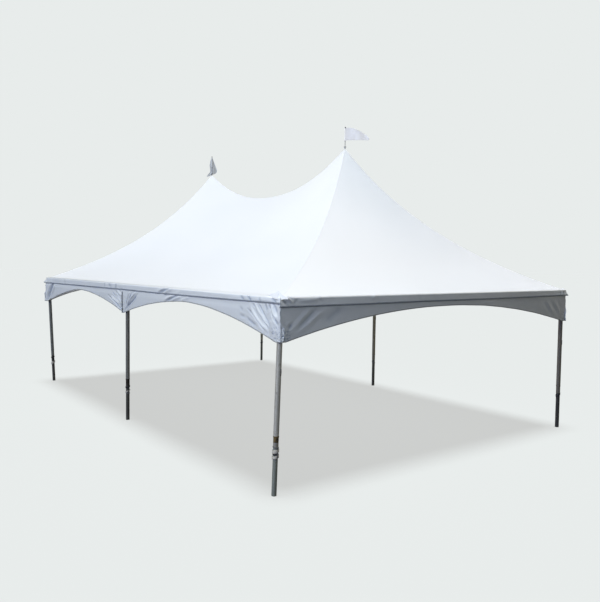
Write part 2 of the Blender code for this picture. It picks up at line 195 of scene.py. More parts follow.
class GeoTree:
    # one Geometry Nodes tree with named inputs; its result is taken as a plain mesh
    def __init__(self, name, inputs):
        self.tree = bpy.data.node_groups.new(name, "GeometryNodeTree")
        self.keys = {}
        self.addSocket("Geometry", "INPUT", "Geometry")
        for label, (kind, value) in inputs.items():
            socket = self.addSocket(label, "INPUT", kind)
            if value is not None:
                socket.default_value = value
            self.keys[label] = socket.identifier
        self.addSocket("Geometry", "OUTPUT", "Geometry")
        self.entry = self.tree.nodes.new("NodeGroupInput")

    def addSocket(self, label, way, kind):
        return self.tree.interface.new_socket(label, in_out=way, socket_type=f"NodeSocket{kind}")

    def value(self, label):
        return Wire(self.tree, self.entry.outputs[label])

    def add(self, kind, sockets=(), output=0, **settings):
        return addNode(self.tree, kind, sockets, output, **settings)

    def facing(self):
        # the direction that each point of the given mesh carries
        sockets = {"Name": "facing"}
        return self.add("GeometryNodeInputNamedAttribute", sockets, "Attribute", data_type="FLOAT_VECTOR")

    def close(self, wire):
        realized = self.add("GeometryNodeRealizeInstances", [wire])
        sockets = {"Geometry": realized, "Material": self.value("Material")}
        self.add("NodeGroupOutput", [self.add("GeometryNodeSetMaterial", sockets)])

    def result(self, name, mesh, values):
        holder = bpy.data.objects.new(name, mesh)
        bpy.context.scene.collection.objects.link(holder)
        shape = holder.modifiers.new("shape", "NODES")
        shape.node_group = self.tree
        for label, value in values.items():
            shape[self.keys[label]] = value
        graph = bpy.context.evaluated_depsgraph_get()
        made = bpy.data.meshes.new_from_object(holder.evaluated_get(graph))
        made.name = name
        holder.modifiers.remove(shape)
        bpy.data.objects.remove(holder)
        return made


# Finishes
vinylLook = {
    "white": (0.80, 0.835, 0.885),
    "shade": (0.755, 0.795, 0.850),
    "soil": (0.66, 0.67, 0.665),
    "soilShare": 0.22,
    "gloss": 0.42,
    # painted shade: the cold grey laid into the valleys of the folds
    "crease": (0.33, 0.39, 0.50),
    "creaseShare": 0.85,
    "scrim": 520.0,                     # cells of the weave to a metre
    "relief": 0.0012,
    "weld": (0.60, 0.635, 0.70),
    "weldHalfWidth": 0.021,
    "weldShares": (0.12, 0.10, 0.05),   # at the hips, along the ridge and between panels
    "panelWidth": 1.524,
    "glow": (0.355, 0.35, 0.345),       # painted light: an emission standing in for daylight through the taut roof and for the roof's shading
    "glowSide": (1.05, 0.92),           # the painted light's share along the side slopes, from the front to the back
    "glowEnd": (1.36, 0.86),            # the painted light's share across an end slope, from the left hip to the right
    "glowHigh": (0.45, 0.52, 0.60),     # painted colder light near the top of an end slope
    "highFrom": (0.5, 2.1),             # metres above the eave where that light begins and is full
    "highShare": 0.55,
    "rim": 0.026,                       # how far down the hem its painted bright turn reaches
    "rimFade": 0.15,                    # what is left of that painted light towards the back
    "tuftShare": 0.55,
}
black = (0.0, 0.0, 0.0)


def roofPlan(paint):
    # distances in plan from the ridge line and from the middle, and how far past the hip line,
    # which runs from the peak to the corner
    x, y = abs(paint.axis("X")), abs(paint.axis("Y"))
    run, rise = legY - peakY, legX
    return x, y, (x * run - (y - peakY) * rise) / math.hypot(run, rise)


def addWelds(paint, base, height):
    look = vinylLook
    x, y, past = roofPlan(paint)
    onEnd = (peakY - y).below(0.0, 0.002)
    hip = abs(past).below(look["weldHalfWidth"], 0.006) * onEnd
    ridge = x.below(look["weldHalfWidth"], 0.006) * (1.0 - onEnd)
    panel = abs((y / look["panelWidth"]).sum("FRACT") - 0.5).below(0.006, 0.002) * (1.0 - hip)
    for band, share in zip((hip, ridge, panel), look["weldShares"]):
        base = paint.blend(band * share, base, look["weld"])
    return base, height + (hip + ridge + panel * 0.6) * 0.35


# painted light on the roof: an emission, stronger towards the front and the left hip, colder near the top of
# each end slope
def roofLight(paint):
    look = vinylLook
    _, y, past = roofPlan(paint)
    onEnd = past.below(0.0, 0.02)
    halfWidth = (y - peakY) * (legX / (legY - peakY)) + 0.02      # of the end slope at this place
    side = paint.grade(paint.axis("Y"), -legY, peakY, *look["glowSide"])
    end = paint.grade(paint.axis("X") / halfWidth, -1.0, 1.0, *look["glowEnd"])
    day = side + (end - side) * onEnd
    lit = paint.blend(day / 2.0, black, [2.0 * c for c in look["glow"]])
    begins, full = look["highFrom"]
    high = paint.grade(paint.axis("Z"), eaveZ + begins, eaveZ + full, 0.0, look["highShare"]) * onEnd
    return paint.blend(high, lit, look["glowHigh"])


def rimLight(paint):
    # painted light: a hem is made bright where it turns over the eave, and less so further down and towards
    # the back
    look = vinylLook
    turn = paint.grade(paint.axis("Z"), eaveZ - look["rim"], eaveZ - 0.004, 0.0, 1.0)
    turn = turn * paint.grade(paint.axis("Y"), -legY, 0.5 * legY, 1.0, look["rimFade"])
    return paint.blend(turn, black, look["glow"])


# painted light: the tufts glow evenly at a share of the roof's emission
def tuftLight(paint):
    return [c * vinylLook["tuftShare"] for c in vinylLook["glow"]]


def vinyl(name, tint=1.0, welded=False, creased=False, light=None):
    look = vinylLook
    white, shade = ([c * tint for c in look[tone]] for tone in ("white", "shade"))
    paint = Finish(name, white, look["gloss"], IOR=1.45)
    streaks = paint.noise(5.0, 4.0, (1.0, 1.0, 0.12))
    base = paint.mottle(paint.noise(0.9, 4.0), 0.35, 0.7, white, shade)
    base = paint.mottle(streaks, 0.55, 0.85, base, look["soil"], look["soilShare"])
    height = paint.cells(look["scrim"]) * 0.25 + paint.noise(38.0, 3.0) * 0.35 + paint.noise(7.0, 2.0)
    if welded:
        base, height = addWelds(paint, base, height)
    # painted light, given as an emission
    if light:
        paint.glow(light(paint))
    if creased:
        # painted shade, with a little dust, darkens the valleys of the folds and the crumpled tips
        mark = paint.add("ShaderNodeAttribute", (), "Fac", attribute_name="crease")
        base = paint.mottle(mark, 0.0, 1.0, base, look["crease"], look["creaseShare"])
    paint.colour(base)
    paint.rough(paint.grade(streaks, 0.3, 0.8, look["gloss"] - 0.05, look["gloss"] + 0.12))
    paint.bump(height, look["relief"], 0.6)
    return paint.material


def webbing(name, colour):
    paint = Finish(name, colour, 0.75)
    fuzz = paint.noise(160.0, 3.0)
    paint.colour(paint.mottle(fuzz, 0.3, 0.7, colour, [c * 0.7 for c in colour]))
    sockets = {"Vector": paint.place, "Scale": 45.0, "Distortion": 0.4}
    rib = paint.add("ShaderNodeTexWave", sockets, "Fac", wave_type="BANDS", bands_direction="DIAGONAL")
    paint.bump(rib + fuzz * 0.5, 0.0006, 0.7)
    return paint.material


tubeLook = {
    "bright": (0.43, 0.42, 0.385),
    "dull": (0.275, 0.27, 0.245),
    "stain": (0.17, 0.155, 0.13),
    "mud": (0.12, 0.115, 0.10),
    "spangle": 95.0,
    "roughness": 0.46,
}


def tubeSteel(name, tone=1.0, metallic=0.35, mudTop=0.0):
    look = tubeLook
    bright, dull, stained = ([c * tone for c in look[key]] for key in ("bright", "dull", "stain"))
    paint = Finish(name, bright, look["roughness"], metallic)
    spangle = paint.cells(look["spangle"])
    wear = paint.noise(9.0, 5.0, (1.0, 1.0, 0.18))
    base = paint.mottle(wear, 0.38, 0.66, bright, dull)
    base = paint.blend(spangle * 0.18, base, [c * 0.8 for c in bright])
    stain = paint.grade(paint.noise(17.0, 6.0), 0.60, 0.74, 0.0, 0.55)
    base = paint.blend(stain, base, stained)
    if mudTop:
        mud = paint.grade(paint.axis("Z") + paint.noise(30.0, 4.0) * 0.08, 0.04, mudTop, 0.5, 0.0)
        base = paint.blend(mud, base, look["mud"])
    paint.colour(base)
    rough = look["roughness"]
    paint.rough(paint.grade(wear + stain * 0.5, 0.3, 1.0, rough - 0.08, rough + 0.22))
    paint.bump(spangle * 0.3 + wear, 0.0004, 0.5)
    return paint, base


def nearCorner(paint, end, share):
    # the share at the front left leg, fading to none; that leg is at -2 and the tent's middle at 0
    far = paint.axis("Y") / legY + paint.axis("X") / legX
    return paint.grade(far, -1.9, end, share, 0.0)


upperLegLook = {
    "tone": 1.45,
    "midLeft": (0.100, 0.102, 0.093),   # away from the front left leg these four tones lie over the steel: partly the legs' own tones, partly painted shade
    "backLeft": (0.150, 0.170, 0.165),
    "frontRight": (0.205, 0.170, 0.128),
    "backRight": (0.30, 0.285, 0.175),
    "darkShare": 0.75,
    "bushTop": 0.7405,
    "smoke": (0.035, 0.030, 0.026),
    "bronze": (0.23, 0.165, 0.070),
    "wornTop": 0.661,
    "worn": (0.40, 0.39, 0.36),
    "collarTop": 0.768,
    "collar": (0.62, 0.60, 0.55),
}


def upperLegSteel(name):
    # weathered tube, painted light near the front left and painted shade on the others over their own tones,
    # each with a bush at its end
    look = upperLegLook
    paint, base = tubeSteel(name, look["tone"])
    near = nearCorner(paint, -0.95, 1.0)
    onLeft = paint.axis("X").below(0.0, 0.5)
    atBack = paint.grade(paint.axis("Y"), 0.5, 4.0, 0.0, 1.0)
    left = paint.blend(atBack, look["midLeft"], look["backLeft"])
    right = paint.mottle(paint.axis("Y"), -2.5, -0.5, look["frontRight"], look["backRight"])
    # painted light and shade: the tone of each leg follows how it was lit
    base = paint.blend((1.0 - near) * look["darkShare"], base, paint.blend(onLeft, right, left))
    z = paint.axis("Z")
    bush = z.below(look["bushTop"], 0.001)
    smoked = paint.grade(paint.noise(40.0, 4.0, (1.0, 1.0, 0.4)), 0.38, 0.60, 0.0, 1.0)
    bronze = paint.blend(smoked * near, look["smoke"], look["bronze"])
    bronze = paint.blend(z.below(look["wornTop"], 0.004) * near * 0.85, bronze, look["worn"])
    collar = z.below(look["collarTop"], 0.001) * (1.0 - bush)
    base = paint.blend(collar * near * 0.8, base, look["collar"])
    smoky = onLeft * (1.0 - atBack)
    paint.colour(paint.blend(bush * (0.1 + smoky * 0.9), base, bronze))
    return paint.material


lowerLegLook = {
    "tone": 0.24,
    "mudTop": 0.10,
    "wear": (0.135, 0.145, 0.125),
    "pale": (0.34, 0.37, 0.335),
    "streak": (0.235, 0.255, 0.235),
    "olive": (0.19, 0.195, 0.15),
}


def lowerLegSteel(name):
    # dark inner tube with grey-green wear; on the front left leg it is pale, partly worn and partly painted
    # light
    look = lowerLegLook
    paint, base = tubeSteel(name, look["tone"], 0.30, look["mudTop"])
    base = paint.mottle(paint.noise(6.0, 4.0, (1.0, 1.0, 0.15)), 0.45, 0.65, base, look["wear"], 0.5)
    pale = paint.mottle(paint.noise(24.0, 4.0, (1.0, 1.0, 0.08)), 0.35, 0.65, look["pale"], look["streak"])
    onRight = 1.0 - paint.axis("X").below(0.0, 0.5)
    olive = paint.grade(paint.axis("Y"), -2.5, -0.5, 0.0, 1.0) * onRight
    base = paint.blend(olive * paint.grade(paint.axis("Z"), 0.0, 0.5, 0.35, 0.9), base, look["olive"])
    # painted light, with wear: the front left leg is paler
    paint.colour(paint.blend(nearCorner(paint, -1.2, 0.92), base, pale))
    return paint.material


def paintedSteel(name, colour, chipped):
    paint = Finish(name, colour, 0.5, 0.2)
    chips = paint.grade(paint.noise(70.0, 5.0), 0.63, 0.67, 0.0, 1.0)
    cloudy = paint.noise(12.0, 3.0)
    base = paint.mottle(cloudy, 0.3, 0.7, colour, [c * 1.8 for c in colour])
    paint.colour(paint.blend(chips, base, chipped))
    paint.feed("Metallic", paint.grade(chips, 0.0, 1.0, 0.15, 0.9))
    paint.rough(paint.grade(cloudy, 0.3, 0.7, 0.42, 0.62))
    paint.bump(cloudy + paint.noise(240.0, 2.0) * 0.4, 0.0005, 0.5)
    return paint.material


def brushedAluminium(name, bright, dull):
    paint = Finish(name, bright, 0.34, 0.95)
    lines = paint.noise(420.0, 3.0, (1.0, 1.0, 0.01))
    paint.colour(paint.mottle(paint.noise(5.0, 4.0, (1.0, 1.0, 0.3)), 0.35, 0.7, bright, dull))
    paint.rough(paint.grade(lines, 0.3, 0.7, 0.28, 0.45))
    paint.bump(lines, 0.0002, 0.5)
    return paint.material


def plainSteel(name, bright, dull, metallic=0.9):
    paint = Finish(name, bright, 0.38, metallic)
    grime = paint.noise(60.0, 4.0)
    paint.colour(paint.mottle(grime, 0.45, 0.7, bright, dull))
    paint.rough(paint.grade(grime, 0.3, 0.7, 0.3, 0.55))
    return paint.material


def nylon(name, bright, dull, glow):
    paint = Finish(name, bright, 0.62, Sheen_Weight=0.15)
    # painted light: an emission standing in for light through the thin cloth
    paint.glow(glow)
    cloudy = paint.noise(9.0, 3.0)
    weave = paint.add("ShaderNodeTexChecker", {"Vector": paint.place, "Scale": 900.0}, "Fac")
    paint.colour(paint.mottle(cloudy, 0.3, 0.7, bright, dull))
    paint.bump(weave * 0.4 + cloudy, 0.0006, 0.5)
    return paint.material


canopyVinyl = vinyl("canopy_vinyl_white", welded=True, light=roofLight)
hemVinyl = vinyl("hem_vinyl_white", 0.98, creased=True, light=rimLight)
tuftVinyl = vinyl("tuft_vinyl_white", light=tuftLight)
valanceVinyl = vinyl("valance_vinyl_white", 0.97, creased=True)
seamShadeTape = webbing("seam_tape_grey", (0.30, 0.335, 0.40))
edgeTape = webbing("edge_tape_grey", (0.46, 0.475, 0.49))
# a closure tape, darkened partly as painted shade
closureShadeTape = webbing("closure_tape_dark", (0.16, 0.18, 0.23))
thread = webbing("thread_grey", (0.52, 0.55, 0.60))
strapLooks = {
    "pale": webbing("strap_pale", (0.66, 0.63, 0.57)),
    "grey": webbing("strap_grey", (0.20, 0.20, 0.205)),
    "black": webbing("strap_black", (0.030, 0.030, 0.034)),
}
fittingSteel = paintedSteel("fitting_steel_dark", (0.055, 0.056, 0.06), (0.33, 0.32, 0.30))
boltSteel = plainSteel("bolt_steel", (0.46, 0.47, 0.48), (0.16, 0.155, 0.15))
# the back pennant is the same nylon painted darker, as painted shade; both glow with painted light
pennantLooks = {
    "front": nylon("pennant_nylon_pale", (0.74, 0.78, 0.83), (0.66, 0.70, 0.76), (0.36, 0.35, 0.36)),
    "back": nylon("pennant_nylon_grey", (0.44, 0.475, 0.515), (0.34, 0.37, 0.41), (0.18, 0.185, 0.19)),
}
solidLooks = {
    "rail_": tubeSteel("rail_galvanised")[0].material,
    "crown_": fittingSteel,
    "leg_upper_": upperLegSteel("upper_leg_steel"),
    "leg_lower_": lowerLegSteel("lower_leg_steel"),
    "mast_": brushedAluminium("mast_mill_finish", (0.69, 0.70, 0.71), (0.52, 0.53, 0.54)),
    "cable_cross_": fittingSteel,
    "pennant_rod_": plainSteel("rod_steel", (0.24, 0.25, 0.27), (0.13, 0.135, 0.15), 0.4),
}
for name, node in frame["nodes"].items():
    for start, look in solidLooks.items():
        if name.startswith(start):
            node.data.materials.clear()
            node.data.materials.append(look)
print("finishes made")


# Mesh helpers
def linkMesh(name, mesh, material, body="root"):
    obj = bpy.data.objects.new(name, mesh)
    bpy.context.scene.collection.objects.link(obj)
    mesh.materials.clear()
    mesh.materials.append(material)
    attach(obj, body)
    return obj


def gridMesh(name, points, closed=False, capped=False):
    # a smooth sheet through rows of points; closed joins its last column to its first,
    # and capped fills the last row
    rows, columns = points.shape[:2]
    corners = np.arange(rows * columns).reshape(rows, columns)
    lastRow = corners[-1].tolist()
    if closed:
        corners = np.concatenate([corners, corners[:, :1]], axis=1)
    faces = np.stack([corners[:-1, :-1], corners[1:, :-1], corners[1:, 1:], corners[:-1, 1:]], -1)
    faces = faces.reshape(-1, 4).tolist() + ([lastRow] if capped else [])
    mesh = bpy.data.meshes.new(name)
    mesh.from_pydata(points.reshape(-1, 3).tolist(), [], faces)
    mesh.shade_smooth()
    return mesh


def markPoints(mesh, label, values, kind="FLOAT"):
    # gives each point of a mesh a number or a direction
    attribute = mesh.attributes.new(label, kind, "POINT")
    field = "vector" if kind == "FLOAT_VECTOR" else "value"
    attribute.data.foreach_set(field, np.asarray(values, float).ravel())


def faceOutward(mesh, outward):
    # turns every face over if the sheet's mean normal points against the given direction
    mesh.update()
    mean = Vector((0.0, 0.0, 0.0))
    for polygon in mesh.polygons:
        mean += polygon.normal * polygon.area
    if mean.dot(Vector(outward)) < 0:
        mesh.flip_normals()
    return mesh


def agreeNormals(mesh, sharp=None):
    # turns the faces of a solid outwards, and keeps edges over the given angle sharp
    bm = bmesh.new()
    bm.from_mesh(mesh)
    bmesh.ops.recalc_face_normals(bm, faces=bm.faces)
    bm.to_mesh(mesh)
    bm.free()
    if sharp:
        mesh.shade_smooth()
        mesh.set_sharp_from_angle(angle=math.radians(sharp))
    return mesh


def thicken(obj, thickness):
    wall = obj.modifiers.new("thickness", "SOLIDIFY")
    wall.thickness = thickness
    wall.offset = -1.0


def closedTube(name, rings, sharp=40.0):
    # rings[k, i]: point k of the section at place i; the ends are capped
    around, places = rings.shape[:2]
    index = np.arange(around * places).reshape(around, places)
    following = np.roll(index, -1, axis=0)
    faces = np.stack([index[:, :-1], following[:, :-1], following[:, 1:], index[:, 1:]], -1)
    faces = faces.reshape(-1, 4).tolist() + [index[:, 0].tolist(), index[::-1, -1].tolist()]
    mesh = bpy.data.meshes.new(name)
    mesh.from_pydata(rings.reshape(-1, 3).tolist(), [], faces)
    return agreeNormals(mesh, sharp)


def unit(vectors):
    return vectors / np.linalg.norm(vectors, axis=-1, keepdims=True)


def ribbon(name, line, facing, width, thickness):
    # a flat band along a line of points; facing points out of its broad side
    line, facing = np.array(line, float), unit(np.array(facing, float))
    across = unit(np.cross(unit(np.gradient(line, axis=0)), facing))
    section = [(-0.5, 0.0), (-0.42, 1.0), (0.42, 1.0), (0.5, 0.0)]
    rings = [line + across * a * width + facing * b * thickness for a, b in section]
    return closedTube(name, np.array(rings), 50.0)


def smoothNoise(points, scale, seed=0.0):
    # one value of gentle noise, about -1 to 1, at each point
    flat = points.reshape(-1, points.shape[-1])
    shift = Vector((seed, seed * 1.7, -seed))
    values = [noise.noise(Vector(p) * scale + shift) for p in flat.tolist()]
    return np.array(values).reshape(points.shape[:-1])


def smoothStep(value):
    value = np.clip(value, 0.0, 1.0)
    return value * value * (3.0 - 2.0 * value)


# The roof's form: a net of threads in tension, held at the eave, the hips and the ridge
roofShape = {
    "cells": 32,                        # of the net, from the ridge line to an eave
    "grading": 1.2,                     # above 1, cells are smaller near the peaks
    "saddleShare": 0.717,               # the ridge's lowest height, as a share of the peaks'
    "saddlePower": 2.17,
    "tensionGrowth": 3.0,               # how the tension grows away from the peaks
    "growthReach": 3.8,
    "peakSlope": 1.55,
    "coneReach": 0.09,
    "thickness": 0.0012,
    "eyelet": 0.0115,
    "flat": (8.3, 11.2),
    "area": 76.0,
    "turnDown": ((0.012, 0.0006), (0.028, 0.0045), (0.038, 0.014), (0.042, 0.044)),
}


def solveRoof():
    shape = roofShape
    cells = shape["cells"]
    grade = np.linspace(0.0, 1.0, cells + 1) ** shape["grading"]
    xs = legX * grade
    ys = np.concatenate([peakY * (1.0 - grade[::-1]), peakY + (legY - peakY) * grade[1:]])
    columns, rows = len(xs), len(ys)
    index = np.arange(columns * rows).reshape(columns, rows)
    dx, dy = np.diff(xs), np.diff(ys)
    # the strip of cloth that each thread stands for
    width = (np.append(dx, 0.0) + np.insert(dx, 0, 0.0)) / 2
    depth = (np.append(dy, 0.0) + np.insert(dy, 0, 0.0)) / 2
    net = np.zeros((index.size, index.size))

    def addThread(a, b, x, y, share):
        tension = share * math.exp(shape["tensionGrowth"] * math.hypot(x, y - peakY) / shape["growthReach"])
        net[a, a] += tension
        net[b, b] += tension
        net[a, b] -= tension
        net[b, a] -= tension

    for i in range(columns):
        for j in range(rows):
            if i + 1 < columns:
                addThread(index[i, j], index[i + 1, j], (xs[i] + xs[i + 1]) / 2, ys[j], depth[j] / dx[i])
            if j + 1 < rows:
                addThread(index[i, j], index[i, j + 1], xs[i], (ys[j] + ys[j + 1]) / 2, width[i] / dy[j])
    held = {index[i, rows - 1]: 0.0 for i in range(columns)}
    held.update({index[columns - 1, j]: 0.0 for j in range(rows)})
    saddle = shape["saddleShare"]
    for k in range(cells + 1):
        held[index[k, cells + k]] = (1.0 - grade[k]) / (1.0 + grade[k])
        held[index[0, k]] = saddle + (1.0 - saddle) * (ys[k] / peakY) ** shape["saddlePower"]
    fixed = np.array(sorted(held))
    free = np.setdiff1d(index.ravel(), fixed)
    share = np.zeros(index.size)
    share[fixed] = [held[k] for k in fixed]
    share[free] = np.linalg.solve(net[np.ix_(free, free)], -net[np.ix_(free, fixed)] @ share[fixed])
    heights = eaveZ + (peakZ - eaveZ) * share.reshape(columns, rows)
    # close to the peak the skin follows the mast's cone
    reach = np.hypot(xs[:, None], ys[None, :] - peakY)
    near = reach < shape["coneReach"]
    heights[near] = np.maximum(heights[near], peakZ - shape["peakSlope"] * reach[near])
    return xs, ys, heights


roofX, roofY, roofZ = solveRoof()
fullX = np.concatenate([-roofX[:0:-1], roofX])
fullY = np.concatenate([-roofY[:0:-1], roofY])
quarterToFull = np.concatenate([roofZ[:0:-1], roofZ])
fullZ = np.concatenate([quarterToFull[:, :0:-1], quarterToFull], axis=1)


def buildCanopy():
    shape = roofShape
    bm = bmesh.new()
    columns, rows = fullZ.shape
    knots = [[bm.verts.new((fullX[i], fullY[j], fullZ[i, j])) for j in range(rows)] for i in range(columns)]
    for i in range(columns - 1):
        for j in range(rows - 1):
            a, b, c, d = knots[i][j], knots[i + 1][j], knots[i + 1][j + 1], knots[i][j + 1]
            x, y = (fullX[i] + fullX[i + 1]) / 2, (fullY[j] + fullY[j + 1]) / 2
            outward = (abs(y) > peakY) == (x * y > 0)      # diagonals run out from the peaks
            for corners in ((a, b, c), (a, c, d)) if outward else ((a, b, d), (b, c, d)):
                bm.faces.new(corners)
    # the skin turns down over the rail, under the hem band
    loop = [knots[i][0] for i in range(columns)]
    loop += [knots[-1][j] for j in range(1, rows)]
    loop += [knots[i][-1] for i in range(columns - 2, -1, -1)]
    loop += [knots[0][j] for j in range(rows - 2, 0, -1)]
    last = loop
    for outward, drop in shape["turnDown"]:
        ring = []
        for vert in loop:
            x, y = vert.co.x, vert.co.y
            x += math.copysign(outward, x) if abs(x) > legX - 0.001 else 0.0
            y += math.copysign(outward, y) if abs(y) > legY - 0.001 else 0.0
            ring.append(bm.verts.new((x, y, eaveZ - drop)))
        for k in range(len(loop)):
            n = (k + 1) % len(loop)
            bm.faces.new((last[k], last[n], ring[n], ring[k]))
        last = ring
    bmesh.ops.recalc_face_normals(bm, faces=bm.faces)
    # an eyelet hole at each peak
    peaks = [v for v in bm.verts if abs(v.co.x) < 1e-6 and abs(abs(v.co.y) - peakY) < 1e-6]
    made = bmesh.ops.bevel(bm, geom=peaks, offset=shape["eyelet"], affect="VERTICES", segments=1)
    caps = [f for f in made["faces"] if len(f.verts) > 4]
    bmesh.ops.delete(bm, geom=caps, context="FACES_ONLY")
    mesh = bpy.data.meshes.new("canopy_skin")
    bm.to_mesh(mesh)
    bm.free()
    faceOutward(mesh, (0.0, 0.0, 1.0))
    mesh.shade_smooth()
    mesh.set_sharp_from_angle(angle=math.radians(24.0))
    skin = linkMesh("canopy_skin", mesh, canopyVinyl)
    thicken(skin, shape["thickness"])
    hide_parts("canopy")
    return skin


canopySkin = buildCanopy()
print("canopy skin", len(canopySkin.data.polygons), "faces")


# Walls: each end and side has its own frame, along it and outward from it
walls = {
    "front": {"along": (1, 0), "outward": (0, -1), "half": legX, "stand": legY,
              "corners": ("front_left", "front_right")},
    "back": {"along": (-1, 0), "outward": (0, 1), "half": legX, "stand": legY,
             "corners": ("back_right", "back_left")},
    "left": {"along": (0, -1), "outward": (-1, 0), "half": legY, "stand": legX,
             "corners": ("back_left", "front_left")},
    "right": {"along": (0, 1), "outward": (1, 0), "half": legY, "stand": legX,
              "corners": ("front_right", "back_right")},
}
# where the hem's seam lies under the eave: place along the wall, drop
seamLines = {
    "front": ((-3.05, 0.121), (-1.65, 0.120), (-0.54, 0.113), (1.2, 0.115), (3.05, 0.101)),
    "back": ((-3.05, 0.096), (0.4, 0.106), (3.05, 0.100)),
    "left": ((-4.6, 0.112), (-2.3, 0.102), (0.0, 0.093), (1.0, 0.096), (2.7, 0.088), (3.5, 0.082),
             (4.6, 0.071)),
    "right": ((-4.6, 0.098), (-1.2, 0.104), (1.5, 0.096), (4.6, 0.102)),
}
cornerFlare = {"front_left": 0.012, "front_right": 0.026, "back_left": 0.042, "back_right": 0.020}


def seamDrop(side, s):
    places, drops = zip(*seamLines[side])
    return np.interp(s, places, drops)


def wallPoints(wall, s, out, z):
    # s runs along the wall to the right as seen from outside, out is measured from the leg line
    along, outward = np.array(wall["along"], float), np.array(wall["outward"], float)
    reach = wall["stand"] + out
    flat = s[..., None] * along + reach[..., None] * outward
    return np.concatenate([flat, z[..., None]], axis=-1)


def spacing(start, finish, ends, fine, coarse, reach):
    # places along a wall, close together near the given ends and wider apart between
    places = [start]
    while places[-1] < finish:
        gap = min(abs(places[-1] - e) for e in ends)
        places.append(places[-1] + fine + (coarse - fine) * min(gap / reach, 1.0) ** 2)
    places = np.array(places)
    return start + (places - start) * (finish - start) / (places[-1] - start)


# Folds: each is a stroke over the wall, in millimetres: its width, its height, which is negative for a
# valley, and then each point's place along the wall and its drop below the eave
def foldField(s, drop, strokes):
    move = np.zeros_like(s)
    crease = np.zeros_like(s)
    for stroke in strokes:
        width, height = stroke[0] / 1000, stroke[1] / 1000
        line = np.array(stroke[2:]).reshape(-1, 2) / 1000
        steps = np.diff(line, axis=0)
        lengths = np.hypot(steps[:, 0], steps[:, 1])
        best = np.full(s.shape, 1e3)
        along = np.zeros_like(s)
        walked = 0.0
        for a, step, length in zip(line, steps, lengths):
            way = step / length
            t = np.clip((s - a[0]) * way[0] + (drop - a[1]) * way[1], 0.0, length)
            gap = np.hypot(s - a[0] - t * way[0], drop - a[1] - t * way[1])
            closer = gap < best
            best = np.where(closer, gap, best)
            along = np.where(closer, (walked + t) / lengths.sum(), along)
            walked += length
        across = best / width
        fade = 0.3 + 0.7 * smoothStep(np.minimum(along, 1.0 - along) / 0.25)
        move += height * fade * (np.exp(-across ** 1.35) - 0.30 * np.exp(-((across - 2.0) / 0.9) ** 2))
        # painted shade along a valley
        if height < 0:
            crease = np.maximum(crease, fade * min(-height / 0.014, 1.0) * np.exp(-across ** 1.6))
    return move, crease


def fanOfFolds(at, toward, seed, count, reach, height):
    # strokes that run from a valance's tip up and away to the hem
    rng = np.random.default_rng(seed)
    strokes = []
    for k in range(count):
        away = reach * (k + 0.3 + 0.5 * rng.random()) / count
        lowest = 0.46 - 0.16 * rng.random() - 0.10 * k / count
        highest = 0.11 + 0.09 * rng.random()
        root = 0.05 + 0.35 * away * rng.random()
        middle = 0.45 + 0.2 * rng.random()
        bend = (at + toward * (root + (away - root) * middle), lowest + (highest - lowest) * (middle + 0.05))
        points = [at + toward * root, lowest, *bend, at + toward * away, highest]
        size = height * (0.55 + 0.6 * rng.random()) * (1.0 - 0.35 * k / count)
        width = 0.020 + 0.022 * rng.random()
        strokes.append([1000.0 * v for v in (width, size if k % 2 else -0.8 * size, *points)])
    return strokes


